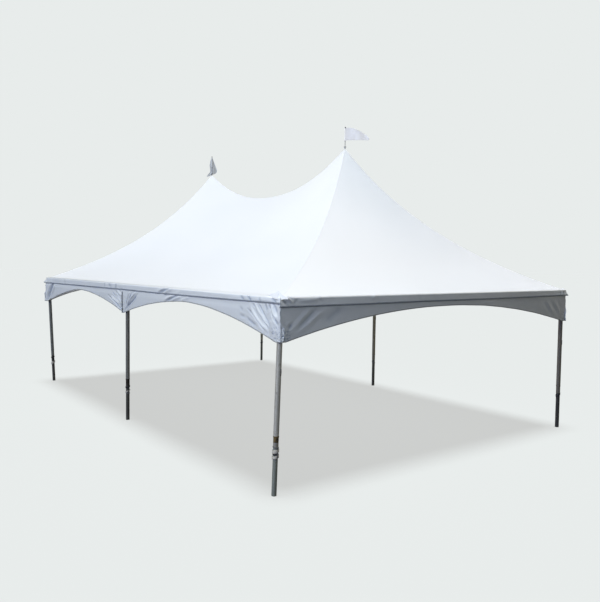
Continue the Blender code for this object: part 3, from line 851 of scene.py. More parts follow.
valley, deepValley, ridge, highRidge = (12, -15), (15, -21), (18, 17), (20, 23)
wallFolds = {
    "left": [
        # up from the near corner's tip
        (*valley, 4013, 100, 4097, 146, 4174, 216, 4247, 273, 4320, 339, 4384, 390),
        (*valley, 4163, 91, 4228, 155, 4283, 208, 4346, 280, 4409, 347, 4437, 380),
        (*valley, 3927, 179, 4015, 227, 4100, 279, 4176, 336, 4249, 392, 4293, 409),
        (20, -9, 3911, 298, 3999, 339, 4072, 364, 4130, 386),
        (20, -6, 3744, 175, 3811, 208),
        (20, -6, 3752, 278, 3864, 290),
        (*deepValley, 4458, 199, 4501, 253, 4547, 299, 4590, 337),
        (18, -11, 4308, 86, 4361, 182),
        (17, -10, 4387, 94, 4422, 157),
        (19, -12, 4491, 98, 4569, 188),
        (*ridge, 4078, 96, 4144, 175, 4229, 238, 4302, 299, 4409, 372),
        (*ridge, 3977, 139, 4081, 232, 4156, 300, 4249, 355, 4366, 427),
        (*highRidge, 4448, 94, 4484, 164, 4537, 230, 4589, 286),
        (55, 20, 4460, 272, 4505, 463),
        (20, 14, 4573, 368, 4566, 469),
        # both ways from the middle leg's tip
        (*deepValley, -782, 229, -459, 336, -250, 424, -100, 483),
        (*valley, -563, 167, -407, 242),
        (*valley, -429, 139, -249, 222),
        (*ridge, -355, 129, -148, 210),
        (*ridge, -616, 253, -226, 363),
        (*valley, -400, 200, -220, 330, -85, 450),
        (*ridge, -300, 250, -140, 400),
        (*valley, 280, 140, 180, 260, 80, 380),
        (*ridge, 200, 130, 110, 240),
        (*deepValley, 540, 150, 430, 225, 290, 303, 122, 381, 20, 460),
        (*highRidge, 490, 110, 300, 220, 110, 335),
        (*valley, 96, 256, 61, 346),
        (18, 10, -1, 270, -14, 360),
        (26, 16, 1560, 200, 1720, 150, 1900, 98),
        (20, -12, 1640, 200, 1810, 155, 2000, 100),
        (26, 16, 1760, 195, 1930, 155, 2120, 108),
        (24, 10, 2120, 170, 2358, 110),
        (50, -34, -4080, 80, -4270, 250, -4440, 430, -4500, 510),
        (34, 10, -3980, 150, -4180, 350),
    ],
    "front": [
        (34, 8, -2345, 137, -2506, 233, -2664, 343, -2848, 441),
        (32, -7, -2548, 169, -2695, 295, -2838, 396),
        (32, 8, -2628, 151, -2811, 321, -2896, 408),
        (22, -10, -2915, 332, -2963, 382),
        (50, -6, -2120, 150, -2380, 330),
        (34, -2.6, 2430, 200, 2610, 380),
        (34, -2.6, 2660, 210, 2840, 400),
        (34, 5, 2545, 205, 2725, 390),
        (34, 5, 2775, 220, 2935, 400),
    ],
    "back": fanOfFolds(-3.0, 1, 21, 7, 1.1, 0.016) + fanOfFolds(3.0, -1, 22, 7, 1.0, 0.016),
    "right": (fanOfFolds(-4.52, 1, 23, 8, 1.0, 0.019) + fanOfFolds(0.0, -1, 24, 4, 0.7, 0.016)
              + fanOfFolds(0.0, 1, 25, 4, 0.7, 0.016) + fanOfFolds(4.52, -1, 26, 6, 0.9, 0.017)),
}
bandFolds = {
    "left": [
        (18, -12, 3748, 20, 3849, 72),
        (18, -15, 3906, 4, 4013, 78),
        (18, -14, 4430, 10, 4558, 66),
        (18, -8, 4180, 20, 4240, 80),
        (24, 14, 4080, 50, 4350, 50, 4560, 52),
        (22, -8, -970, -8, -950, 86),
        (26, 16, -643, -15, -644, 93),
        (35, -11, -415, 2, -415, 102),
        (26, 16, 1280, 85, 1480, 30, 1620, -10),
        (18, -13, 1380, 90, 1580, 40, 1740, -5),
        (24, 18, 1520, 90, 1700, 40, 1840, -10),
        (22, 12, 1930, 100, 2080, 45),
        (30, -10, -780, 20, -620, 70),
        (30, 10, -250, 15, -80, 60),
        (28, -7, -3300, 0, -3250, 100),
        (26, 10, -4450, 5, -4480, 100),
    ],
    "front": [
        (20, 10, -2805, 50, -2606, 44, -2479, 34),
        (15, 24, -3025, -4, -2914, 64),
        (12, -14, -3010, -24, -2898, 26),
        (20, -16, -3060, 30, -3000, 85),
        (18, -6, -2900, 95, -2830, 20),
        (20, 12, -2490, -10, -2440, 30),
        (17, 16, -1490, -10, -1570, 60),
        (30, -2, -700, 0, -640, 90),
        (16, -9, 2905, 30, 2925, 100),
        (14, 10, 2965, 20, 2975, 100),
        (14, -9, 3010, 30, 3015, 100),
    ],
    "back": [
        (22, 10, -2930, 0, -2850, 90),
        (22, -7, 620, 20, 750, 90),
        (22, 10, 2950, 0, 2880, 90),
    ],
    "right": [
        (22, 10, -4440, 0, -4350, 90),
        (22, -8, -1850, 20, -1650, 80),
        (22, 9, 350, 0, 300, 90),
        (22, -7, 2600, 20, 2420, 90),
        (22, 10, 4420, 0, 4360, 90),
    ],
}

# Stitches: small beads of thread along a line, each turned along it and out of the cloth
stitchRun = {"pitch": 0.012, "length": 0.0042, "width": 0.0011, "height": 0.0009}


def buildStitchTree():
    tree = GeoTree("stitch_run", {
        "Pitch": ("Float", stitchRun["pitch"]), "Bead": ("Vector", None), "Material": ("Material", None)})
    run = tree.add("GeometryNodeMeshToCurve", {"Mesh": tree.value("Geometry")})
    pitch = {"Curve": run, "Length": tree.value("Pitch")}
    run = tree.add("GeometryNodeResampleCurve", pitch, mode="LENGTH")
    facing = tree.facing()
    tangent = tree.add("GeometryNodeInputTangent")
    turn = tree.add("FunctionNodeAlignRotationToVector", {"Vector": tangent}, axis="X")
    outwards = {"Rotation": turn, "Vector": facing}
    turn = tree.add("FunctionNodeAlignRotationToVector", outwards, axis="Z", pivot_axis="X")
    bead = tree.add("GeometryNodeMeshUVSphere", {"Segments": 4, "Rings": 3, "Radius": 1.0})
    beads = {"Points": run, "Instance": bead, "Rotation": turn, "Scale": tree.value("Bead")}
    tree.close(tree.add("GeometryNodeInstanceOnPoints", beads))
    return tree


stitchTree = buildStitchTree()


def buildStitches(name, line, facings, body="root"):
    mesh = bpy.data.meshes.new(name)
    mesh.from_pydata(line.tolist(), [(k, k + 1) for k in range(len(line) - 1)], [])
    markPoints(mesh, "facing", facings, "FLOAT_VECTOR")
    size = (stitchRun["length"], stitchRun["width"], stitchRun["height"])
    made = stitchTree.result(name, mesh, {"Pitch": stitchRun["pitch"], "Bead": size, "Material": thread})
    made.shade_smooth()
    return linkMesh(name, made, thread, body)


# Hem band: folds crisply over the rail and hangs down to the seam
hemBand = {
    "lift": 0.0022,
    "reach": 0.0515,                    # from the leg line out to its face
    # radius of the turn over the rail: place along the wall, radius
    "bend": {
        "front": ((-3.1, 0.022), (-2.9, 0.0185)),
        "back": ((0.0, 0.020), (1.0, 0.020)),
        "left": ((-4.6, 0.020), (2.6, 0.020), (3.6, 0.038), (4.6, 0.043)),
        "right": ((0.0, 0.024), (1.0, 0.024)),
    },
    "belowSeam": 0.006,
    "lip": 0.0035,
    # rows that lie on the roof: outwards, up, and how freely each may move
    "onRoof": ((-0.024, 0.00816, 0.0), (-0.008, 0.0045, 0.25)),
    # rows between there and the turn: share of the way, up, and how freely each may move
    "onTop": ((0.35, 0.0008, 0.45), (0.8, 0.0, 0.6)),
    "thickness": 0.0014,
    "rows": 10,
    "turns": 5,
    "fine": 0.009,
    "coarse": 0.028,
    "fineReach": 1.2,
    "cornerLength": 0.12,               # what flares at each end
    "wave": {"front": 0.0020, "back": 0.0028, "left": 0.0042, "right": 0.0032},
    "ripples": ((2.6, 3.0, 1.0), (8.0, 8.0, 0.8), (17.0, 5.0, 0.5)),      # scale, seed, share
    "moves": (-0.006, 0.03),
    "meet": 0.035,                      # where folds fade out before a corner
    "flareReach": 0.16,
    "tape": {"front": 0.020, "back": 0.018, "left": 0.014, "right": 0.016},
    "tapeThickness": 0.0016,
    "proud": 0.0006,                    # how far tape and stitches stand off the band
    "stitchGap": 0.004,
    "flatWidth": 0.172,
}


def hemProfile(top, bend, bottom):
    # rows from the roof over the rail and down: outwards, up, how freely each may move,
    # and its share of the hanging part
    band, straight = hemBand, np.zeros_like(bend)
    rows = [(straight + out, straight + up, free) for out, up, free in band["onRoof"]]
    rows += [(top * share, straight + up, free) for share, up, free in band["onTop"]]
    for k in range(band["turns"] + 1):
        angle = math.pi / 2 * k / band["turns"]
        free = 0.6 + 0.2 * k / band["turns"]
        rows.append((top + bend * math.sin(angle), -bend * (1.0 - math.cos(angle)), free))
    hang = np.linspace(0.0, 1.0, band["rows"] + 1)[1:, None]
    face = straight + band["reach"] + band["lip"] * hang ** 1.3
    out = np.concatenate([np.array([r[0] for r in rows]), face])
    level = np.concatenate([np.array([r[1] for r in rows]), -bend + (bend - bottom) * hang])
    free = np.concatenate([np.array([[r[2]] for r in rows]), 0.8 - 0.2 * hang])
    return out, level, free, np.concatenate([np.zeros((len(rows), 1)), hang])


def buildHem(side):
    band, wall = hemBand, walls[side]
    half = wall["half"]
    edge = half + band["reach"]
    fineAt = [-half, half] + ([0.0] if half > 4.0 else [])
    places = spacing(-edge, edge, fineAt, band["fine"], band["coarse"], band["fineReach"])
    bend = np.interp(places, *zip(*band["bend"][side]))
    bottom = seamDrop(side, places) + band["belowSeam"]
    out, level, free, share = hemProfile(band["reach"] - bend, bend, bottom)
    s = np.tile(places, (len(out), 1))
    flow = np.stack([s, level * 2.0, np.full_like(s, wall["stand"] * 3.0)], axis=-1)
    ripple = sum(part * smoothNoise(flow, scale, seed) for scale, seed, part in band["ripples"])
    folds, crease = foldField(s, -level, bandFolds[side])
    # folds end before the corners, so that neighbouring bands still meet there
    toCorner = np.maximum(edge - np.abs(s), 0.0)
    move = (band["wave"][side] * ripple + folds) * free * smoothStep(toCorner / band["meet"])
    move = np.clip(move, *band["moves"])
    for corner, sign in zip(wall["corners"], (-1, 1)):
        gap = np.abs(edge - s * sign)
        out = out + cornerFlare[corner] * share ** 1.5 * np.exp(-gap / band["flareReach"])
    start = half - band["cornerLength"]
    over = (np.abs(s) - start) / (edge - start)
    s = np.where(over > 0, np.sign(s) * (start + over * (half + out - start)), s)
    z = eaveZ + level + band["lift"] * np.clip(1.0 + level / bend, 0.0, 1.0)
    z = z + 0.7 * np.maximum(move, -0.002) * (level > -bend * 0.8)
    points = wallPoints(wall, s, out + move, z)
    mesh = faceOutward(gridMesh(f"hem_{side}", points), (*wall["outward"], 0.4))
    markPoints(mesh, "crease", np.clip(crease, 0.0, 1.0))
    hem = linkMesh(f"hem_{side}", mesh, hemVinyl)
    thicken(hem, band["thickness"])

    # the seam's grey tape on the band's lower edge, darkened partly as painted shade under the band's lip,
    # and a row of stitches above it
    low, width = points[-1], band["tape"][side]
    hangs = unit(low - points[-3])
    outward = np.array((*wall["outward"], 0.0), float)
    outwards = np.tile(outward, (len(low), 1))
    name = f"hem_{side}_tape"
    middle = low - hangs * (width / 2 - 0.001) + outward * band["proud"]
    tape = linkMesh(name, ribbon(name, middle, outwards, width, band["tapeThickness"]), seamShadeTape)
    line = low - hangs * (width + band["stitchGap"]) + outward * band["proud"]
    stitches = buildStitches(f"hem_{side}_stitches", line, outwards)
    round(2 * edge, 2)


for side in walls:
    buildHem(side)
print("hem bands with tape and stitches")


# Corner tufts: gathered vinyl that stands up a little where the hem turns each corner
cornerTufts = {
    # height above the eave, reach along x and y, lean along x and y, overhang outside
    "front_left": (0.070, (0.036, 0.165), (0.004, -0.030), 0.034),
    "front_right": (0.016, (0.030, 0.030), (-0.006, 0.004), 0.020),
    "back_left": (0.014, (0.030, 0.030), (0.004, -0.006), 0.020),
    "back_right": (0.016, (0.030, 0.030), (-0.004, -0.004), 0.020),
}
tuftShape = {
    "folds": 4,
    "foldDepth": 0.28,
    "ripple": 0.004,
    "tip": 0.0025,
    "around": 48,
    "rows": 14,
    "outside": 0.018,                   # its middle, from the leg line
    "foot": 0.0045,
    "thickness": 0.0012,
    "allowance": 1.03,
}


def buildTuft(corner):
    shape = tuftShape
    end, side = corner.split("_")
    rise, reach, lean, overhang = cornerTufts[corner]
    sx, sy = sideOf[side], endOf[end]
    seed = len(corner) * 3.1
    middleX = sx * (legX + shape["outside"])
    middleY = sy * (legY + shape["outside"]) - sy * (reach[1] - reach[0]) * 0.6
    angle = np.linspace(0.0, 2 * math.pi, shape["around"], endpoint=False)[None, :]
    v = np.linspace(0.0, 1.0, shape["rows"])[:, None]
    wayX, wayY = np.cos(angle), np.sin(angle)
    outside = np.maximum(0.0, (wayX * sx + wayY * sy) / math.sqrt(2))
    folds = shape["folds"]
    fold = np.cos(folds * angle + seed) + 0.5 * np.cos((2 * folds + 1) * angle - seed)
    taper = (1.0 - v) ** 1.15 * (1.0 + shape["foldDepth"] * fold * (1.0 - v * 0.4))
    foot = eaveZ + shape["foot"] - overhang * outside
    z = foot + (eaveZ + rise - foot) * v ** 0.9 + shape["ripple"] * fold * v * (1.0 - v)
    x = middleX + wayX * np.maximum(reach[0] * taper, shape["tip"]) + lean[0] * v ** 1.5
    y = middleY + wayY * np.maximum(reach[1] * taper, shape["tip"]) + lean[1] * v ** 1.5
    name = f"tuft_{corner}"
    mesh = agreeNormals(gridMesh(name, np.stack([x, y, z], axis=-1), closed=True, capped=True), 50.0)
    tuft = linkMesh(name, faceOutward(mesh, (0.0, 0.0, 1.0)), tuftVinyl)
    thicken(tuft, shape["thickness"])


for corner in cornerTufts:
    buildTuft(corner)
print("corner tufts")


# Valances: one for each bay side. Their scalloped cut is a Geometry Nodes rule, and folds follow
valanceCut = {
    "middle": 0.192,                    # depth at a bay's middle, below the eave
    "scoop": 0.368,                     # how much deeper it is at the legs
    "midScoop": {"left": 0.320, "right": 0.330},
    "tip": 0.548,
    "topDrop": 0.060,
    "out": 0.0455,
    "thickness": 0.0012,
    "columns": 370,
    "rows": 50,
    "wave": 0.006,
    "ripples": ((1.1, 0.0, 1.0), (5.0, 4.0, 0.35)),      # scale, added seed, share
    "edgeWave": 0.0025,
    "settle": 0.05,                     # how soon below the seam the cloth moves freely
    "moves": (-0.028, 0.042),
    "moveAtLeg": -0.0065,
    "leanReach": 0.15,
    "cornerRadius": 0.018,
    "edgeLift": 0.007,                  # of the free end that lies over a neighbour
    "edgeLiftReach": 0.018,
    "edgeTape": 0.030,
    "edgeTapeOut": 0.0034,
    "legHalfWidth": 0.055,
    "fullness": 0.301,                  # the least share of its flat outline that a cut cloth fills
}
endWidth, sideWidth = legX + 0.041, legY + valanceCut["out"]
# each: the bay's ends along its wall, where the cloth itself ends, the scallops' powers towards both
# ends, how crumpled its tips are, and the end that lies free over its neighbour
valances = {
    "front": {"bay": (-legX, legX), "ends": (-endWidth, endWidth), "powers": (2.06, 2.02),
              "crumples": (1.0, 0.4)},
    "back": {"bay": (-legX, legX), "ends": (-endWidth, endWidth), "powers": (4.0, 4.0),
             "crumples": (0.6, 0.25)},
    "left_front": {"bay": (-0.060, legY), "ends": (-0.117, sideWidth + 0.078), "powers": (1.8, 1.8),
                   "crumples": (0.5, 1.0), "freeEnd": 0},
    "left_back": {"bay": (-legY, -0.060), "ends": (-sideWidth - 0.020, -0.050), "powers": (1.5, 1.8),
                  "crumples": (0.25, 0.5)},
    "right_front": {"bay": (-legY, 0.060), "ends": (-sideWidth - 0.040, 0.117), "powers": (1.8, 1.8),
                    "crumples": (0.4, 0.6), "freeEnd": -1},
    "right_back": {"bay": (0.060, legY), "ends": (0.050, sideWidth + 0.036), "powers": (1.8, 1.8),
                   "crumples": (0.6, 0.6)},
}
for name, plan in valances.items():
    plan["wall"] = name.split("_")[0]
    # a side valance is shallower at the middle leg
    plan["scoops"] = [valanceCut["scoop"] if abs(at) > 1.0 else valanceCut["midScoop"][plan["wall"]]
                      for at in plan["bay"]]
# how far out the cloth stands off at each corner, by drop below the eave
cornerLean = {
    "back_left": ((0.06, 0.0), (0.10, 0.020), (0.25, 0.016), (0.45, 0.008)),
    "back_right": ((0.06, 0.0), (0.10, 0.010)),
    "front_right": ((0.06, 0.0), (0.10, 0.003)),
    "front_left": ((0.06, 0.0), (0.10, 0.0)),
}
# how far a side valance wraps round its corner, by drop below the eave
cornerFlaps = {
    "left_front": ((0.06, 0.005), (0.30, 0.010), (0.335, 0.045), (0.37, 0.078), (0.47, 0.078), (0.52, 0.062),
                   (0.56, 0.034)),
    "left_back": ((0.06, 0.006), (0.38, 0.010), (0.46, 0.020), (0.56, 0.018)),
    "right_front": ((0.06, 0.006), (0.36, 0.014), (0.44, 0.040), (0.56, 0.030)),
    "right_back": ((0.06, 0.006), (0.38, 0.012), (0.46, 0.036), (0.56, 0.030)),
}


def buildCutTree():
    numbers = ["Start", "Finish", "Bay middle", "Bay half", "Middle depth", "First scoop", "Last scoop",
               "First power", "Last power", "Tip depth", "Eave level", "Top level"]
    inputs = {label: ("Float", None) for label in numbers}
    inputs.update({label: ("Int", None) for label in ("Columns", "Rows")})
    inputs["Material"] = ("Material", None)
    tree = GeoTree("valance_cut", inputs)
    sockets = {"Size X": 1.0, "Size Y": 1.0}
    sockets.update({"Vertices X": tree.value("Columns"), "Vertices Y": tree.value("Rows")})
    net = tree.add("GeometryNodeMeshGrid", sockets)
    place = tree.add("GeometryNodeInputPosition")
    u = tree.add("ShaderNodeSeparateXYZ", [place], "X") + 0.5
    share = tree.add("ShaderNodeSeparateXYZ", [place], "Y") + 0.5
    # columns stand closer together towards both ends
    warped = u * 0.45 + (1.0 - (u * math.pi).sum("COSINE")) * 0.275

    def between(first, last, part):
        return tree.value(first) + (tree.value(last) - tree.value(first)) * part

    s = between("Start", "Finish", warped)
    across = (s - tree.value("Bay middle")) / tree.value("Bay half")
    isLast = across.sum("GREATER_THAN", 0.0)
    reach = abs(across).sum("MINIMUM", 1.0)
    scooped = reach ** between("First power", "Last power", isLast)
    depth = tree.value("Middle depth") + between("First scoop", "Last scoop", isLast) * scooped
    low = tree.value("Eave level") - depth.sum("MINIMUM", tree.value("Tip depth"))
    level = tree.value("Top level") + (low - tree.value("Top level")) * share
    moved = tree.add("ShaderNodeCombineXYZ", [s, 0.0, level])
    tree.close(tree.add("GeometryNodeSetPosition", {"Geometry": net, "Position": moved}))
    return tree


cutTree = buildCutTree()


def cutFlat(name):
    # one valance's flat cloth: places along the wall and heights, in rows from the top, and its area
    cut, plan = valanceCut, valances[name]
    start, end = plan["bay"]
    values = {
        "Start": plan["ends"][0], "Finish": plan["ends"][1],
        "Bay middle": (start + end) / 2, "Bay half": (end - start) / 2,
        "Middle depth": cut["middle"], "First scoop": plan["scoops"][0], "Last scoop": plan["scoops"][1],
        "First power": plan["powers"][0], "Last power": plan["powers"][1], "Tip depth": cut["tip"],
        "Eave level": eaveZ, "Top level": eaveZ - cut["topDrop"],
        "Columns": cut["columns"], "Rows": cut["rows"], "Material": valanceVinyl}
    pattern = cutTree.result(f"valance_{name}_cut", bpy.data.meshes.new("cut"), values)
    flat = np.zeros(len(pattern.vertices) * 3)
    pattern.vertices.foreach_get("co", flat)
    area = sum(p.area for p in pattern.polygons)
    bpy.data.meshes.remove(pattern)
    flat = flat.reshape(cut["columns"], cut["rows"], 3).transpose(1, 0, 2)
    return flat[..., 0], flat[..., 2], area


# crumpled tips: reach, centre above the tip, and the scale and height of large and small crumples
tipCrumple = {"reach": 0.17, "above": 0.05, "large": (24.0, 0.014), "small": (44.0, 0.006)}


def foldCloth(plan, s, drop, flow, seed):
    # how far waves, folds and crumpled tips stand out, and how much painted shade lies in their valleys
    cut, tip = valanceCut, tipCrumple
    move, crease = foldField(s, drop, wallFolds[plan["wall"]])
    for scale, shift, share in cut["ripples"]:
        move += share * cut["wave"] * smoothNoise(flow, scale, seed + shift)
    (large, largeHeight), (small, smallHeight) = tip["large"], tip["small"]
    for k, at in enumerate(plan["bay"]):
        depth, strength = cut["middle"] + plan["scoops"][k], plan["crumples"][k]
        away = np.hypot(s - at, (drop - depth + tip["above"]) * 0.8)
        near = np.clip(1.0 - away / tip["reach"], 0.0, 1.0)
        crumple = 0.35 - np.abs(smoothNoise(flow, large, seed + 9.0 + k)) * 2.0
        fine = smoothNoise(flow, small, seed + k)
        move += strength * near * (largeHeight * crumple + smallHeight * fine)
        # painted shade in the hollows of the crumples
        dark = np.clip(-crumple * 1.6 - 0.15, 0.0, 0.8)
        crease = np.maximum(crease, strength * smoothStep(near * 2.0) * dark)
    return move, crease


def wrapRound(wall, s, out, z, end, radius):
    # bends what runs past the corner line round onto the neighbouring wall
    limit = wall["half"] + out - radius
    over = np.clip(s * end - limit, 0.0, None)
    angle = np.clip(over / radius, 0.0, math.pi / 2)
    beyond = np.clip(over - radius * math.pi / 2, 0.0, None)
    newS = np.where(over > 0, limit + radius * np.sin(angle), s * end)
    newOut = np.where(over > 0, out - radius * (1.0 - np.cos(angle)) - beyond, out)
    return wallPoints(wall, newS * end, newOut, z)


# the flap past a corner: its edge's wave, the tip's outward curl, and how far it stands off the leg,
# each with the drop below the eave where it begins
flapShape = {"wave": 0.003, "curl": (0.010, 0.30), "standOff": (0.0065, 0.125), "soft": 0.08,
             "under": 0.0028, "underReach": 0.145}


def wrapFlap(name, wall, s, out, move, z, drop, seed):
    # the flap is narrow above and wide at the tip
    flap = flapShape
    edge = wall["half"] + valanceCut["out"]
    sign = 1 if valances[name]["ends"][1] > wall["half"] else -1
    drops, reaches = zip(*cornerFlaps[name])
    reach = np.interp(drop, drops, reaches) + flap["wave"] * np.sin(46.0 * drop + seed)
    widest = max(reaches)
    past = s * sign - edge
    squeezed = np.where(past > 0, past * reach / widest, past)
    (curl, curlFrom), (standOff, standFrom) = flap["curl"], flap["standOff"]
    s = (squeezed + edge) * sign
    out = out + standOff * smoothStep((drop - standFrom) / flap["soft"])
    out = out + np.maximum(past / widest, 0.0) ** 3 * curl * smoothStep((drop - curlFrom) / flap["soft"])
    if "freeEnd" not in valances[name]:
        # it lies under its neighbour at the middle leg
        out = out - flap["under"] * smoothStep((flap["underReach"] - np.abs(s)) / 0.03)
    return wrapRound(wall, s, out + move, z, sign, valanceCut["cornerRadius"])


# half thickness and half height of the binding, how far it sits in and up, and where its stitches run
edgeBinding = {"halfThickness": 0.0024, "halfHeight": 0.0080, "inward": 0.0006, "up": 0.0060,
               "stitchOut": 0.0012, "stitchUp": 0.0162}


def bindEdge(name, wall, line, above):
    # the bound lower edge, and its stitches on the outside
    up = unit(above - line)
    across = unit(np.cross(unit(np.gradient(line, axis=0)), up))
    if across.mean(axis=0)[:2] @ np.array(wall["outward"], float) < 0:
        across = -across
    band = edgeBinding
    rings = []
    for angle in np.linspace(0, 2 * math.pi, 6, endpoint=False):
        out = band["halfThickness"] * math.cos(angle) - band["inward"]
        rings.append(line + across * out + up * (band["halfHeight"] * math.sin(angle) + band["up"]))
    label = f"valance_{name}_binding"
    binding = linkMesh(label, closedTube(label, np.array(rings)), edgeTape)
    row = line + across * band["stitchOut"] + up * band["stitchUp"]
    return [binding, buildStitches(f"valance_{name}_stitches", row, across)]


def tapeFreeEnd(name, wall, points):
    # the closure tape down the end that lies over the neighbour; its dark tone is partly painted shade of the
    # gap under that end
    cut, freeEnd = valanceCut, valances[name]["freeEnd"]
    column = points[8:, freeEnd]
    outward = np.array((*wall["outward"], 0.0), float)
    inward = np.array((*wall["along"], 0.0), float) * (1.0 if freeEnd == 0 else -1.0)
    middle = column + outward * cut["edgeTapeOut"] + inward * cut["edgeTape"] * 0.4
    label = f"valance_{name}_edge"
    tape = ribbon(label, middle, np.tile(outward, (len(column), 1)), cut["edgeTape"], 0.0014)
    return linkMesh(label, tape, closureShadeTape)


def buildValance(name, seed):
    cut, plan = valanceCut, valances[name]
    wallName = plan["wall"]
    wall = walls[wallName]
    edge = wall["half"] + cut["out"]
    s, z, flatArea = cutFlat(name)
    drop = eaveZ - z
    seam = seamDrop(wallName, s)
    settle = smoothStep((drop - seam) / cut["settle"])
    flow = np.stack([s, z * 1.5, np.full_like(s, seed * 5.0)], axis=-1)
    move, crease = foldCloth(plan, s, drop, flow, seed)
    # the lower edge lifts and dips a little
    atEdge = smoothStep((drop - seam) / np.maximum(drop[-1:] - seam, 0.01))
    z = z + cut["edgeWave"] * atEdge * smoothNoise(flow, 3.0, seed + 2.0)
    # nothing presses into the legs, and nothing lifts the hem
    atLeg = np.minimum(*(np.abs(s - at) for at in plan["bay"])) < cut["legHalfWidth"]
    furthestIn, furthestOut = cut["moves"]
    move = np.clip(move * settle, np.where(atLeg, cut["moveAtLeg"], furthestIn), furthestOut)
    out = np.full_like(s, cut["out"])
    for corner, sign in zip(wall["corners"], (-1, 1)):
        fade = np.exp(-np.abs(edge - s * sign) / cut["leanReach"])
        lean = np.interp(drop, *zip(*cornerLean[corner])) * fade
        out = out + lean
        s = s + sign * lean
    if "freeEnd" in plan:
        freeAt = plan["ends"][plan["freeEnd"]]
        out = out + cut["edgeLift"] * np.exp(-np.abs(s - freeAt) / cut["edgeLiftReach"]) * settle
    if name in cornerFlaps:
        points = wrapFlap(name, wall, s, out, move, z, drop, seed)
    else:
        points = wallPoints(wall, s, out + move, z)
    mesh = faceOutward(gridMesh(f"valance_{name}_cloth", points), (*wall["outward"], 0.0))
    markPoints(mesh, "crease", np.clip(crease * settle, 0.0, 1.0))
    cloth = linkMesh(f"valance_{name}_cloth", mesh, valanceVinyl)
    thicken(cloth, cut["thickness"])
    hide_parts(f"valance_{name}")
    added = bindEdge(name, wall, points[-1], points[-2])
    if "freeEnd" in plan:
        added.append(tapeFreeEnd(name, wall, points))
    depth = cut["middle"] + max(plan["scoops"]) - cut["topDrop"]
    width = plan["ends"][1] - plan["ends"][0]
    area = max(flatArea, cut["fullness"] * width * depth)


for seed, name in enumerate(valances, start=1):
    buildValance(name, seed)
print("valances with bindings and stitches")


# Pennants: thin cloth on a sleeve round each rod, seen across their heading
pennantCloths = {
    "front": {
        "hoist": (0.126, 0.341),
        "top": ((0.0, 0.352), (0.060, 0.360), (0.120, 0.352), (0.200, 0.325), (0.280, 0.288), (0.350, 0.245),
                (0.395, 0.205), (0.418, 0.172)),
        "bottom": ((0.0, 0.138), (0.060, 0.146), (0.400, 0.148), (0.418, 0.160)),
        "wave": 0.014,
    },
    "back": {
        "hoist": (0.186, 0.401),
        # limp cloth, by height: its left and right edges as they hang
        "edges": ((0.401, -0.010, 0.012), (0.346, -0.033, 0.025), (0.231, -0.056, 0.071),
                  (0.140, -0.045, 0.108), (0.092, -0.040, 0.117), (0.050, -0.062, 0.096),
                  (0.023, -0.091, 0.030), (-0.031, -0.121, -0.100)),
        "wave": 0.016,
    },
}
pennantMake = {
    "heading": (0.8142, -0.5806),
    "flat": (0.22, 0.44),
    "waves": 1.3,
    "columns": 40,
    "rows": 26,
    "thickness": 0.0006,
    "sleeveRadius": 0.0084,
    "sleeveThickness": 0.0007,
    "start": 0.0078,
}


def flyingCloth(plan, u, v):
    # along its heading, aside of it and up, for cloth that stands out in the wind
    start, finish = pennantMake["start"], plan["top"][-1][0]
    across = start + (finish - start) * u
    top = np.interp(across, *zip(*plan["top"]))
    bottom = np.interp(across, *zip(*plan["bottom"]))
    aside = plan["wave"] * np.sin(2 * math.pi * pennantMake["waves"] * u + 1.4 * v) * u ** 0.7
    aside += 0.006 * np.sin(2 * math.pi * 3.1 * u - 2.0 * v) * u * (1.0 - u)
    return across, aside, bottom + (top - bottom) * v


def limpCloth(plan, u, v):
    heights, lefts, rights = (np.array(row[::-1]) for row in zip(*plan["edges"]))
    up = heights[0] + (heights[-1] - heights[0]) * v
    left, right = np.interp(up, heights, lefts), np.interp(up, heights, rights)
    aside = plan["wave"] * np.sin(2 * math.pi * pennantMake["waves"] * u + 0.6) * (1.0 - 0.6 * v) + 0.016
    return left + (right - left) * u, np.where(v > 0.97, 0.009, aside), up


def buildPennant(end):
    plan, make = pennantCloths[end], pennantMake
    body = f"pennant_{end}_body"
    peak = np.array([0.0, endOf[end] * peakY])
    heading = np.array(make["heading"])
    normal = np.array([-heading[1], heading[0]])
    u, v = np.meshgrid(np.linspace(0.0, 1.0, make["columns"]), np.linspace(0.0, 1.0, make["rows"]))
    flies = "top" in plan
    across, aside, up = (flyingCloth if flies else limpCloth)(plan, u, v)
    plane = peak + across[..., None] * heading + aside[..., None] * normal
    points = np.concatenate([plane, (peakZ + up)[..., None]], axis=-1)
    outward = np.array((*-normal, 0.0))
    mesh = faceOutward(gridMesh(f"pennant_{end}_cloth", points), outward)
    cloth = linkMesh(f"pennant_{end}_cloth", mesh, pennantLooks[end], body)
    area = sum(p.area for p in mesh.polygons)
    thicken(cloth, make["thickness"])
    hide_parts(f"pennant_{end}")

    angles = np.linspace(0.0, 2 * math.pi, 20, endpoint=False)
    radius = make["sleeveRadius"]
    tube = [[(peak[0] + radius * math.cos(a), peak[1] + radius * math.sin(a), peakZ + level) for a in angles]
            for level in np.linspace(*plan["hoist"], 12)]
    sleeveMesh = gridMesh(f"pennant_{end}_sleeve", np.array(tube), closed=True)
    sleeveMesh = agreeNormals(faceOutward(sleeveMesh, (0.0, 0.0, 1.0)))
    sleeve = linkMesh(f"pennant_{end}_sleeve", sleeveMesh, pennantLooks[end], body)
    thicken(sleeve, make["sleeveThickness"])
    edge = points[0] if flies else points[:, -1]
    outwards = np.tile(outward, (len(edge), 1))
    stitches = buildStitches(f"pennant_{end}_hem", edge + outward * 0.0006, outwards, body)
    whole = make["flat"][0] * make["flat"][1]
    area = max(valanceCut["fullness"] * whole, min(area, whole))


for end in pennantCloths:
    buildPennant(end)
print("pennants")


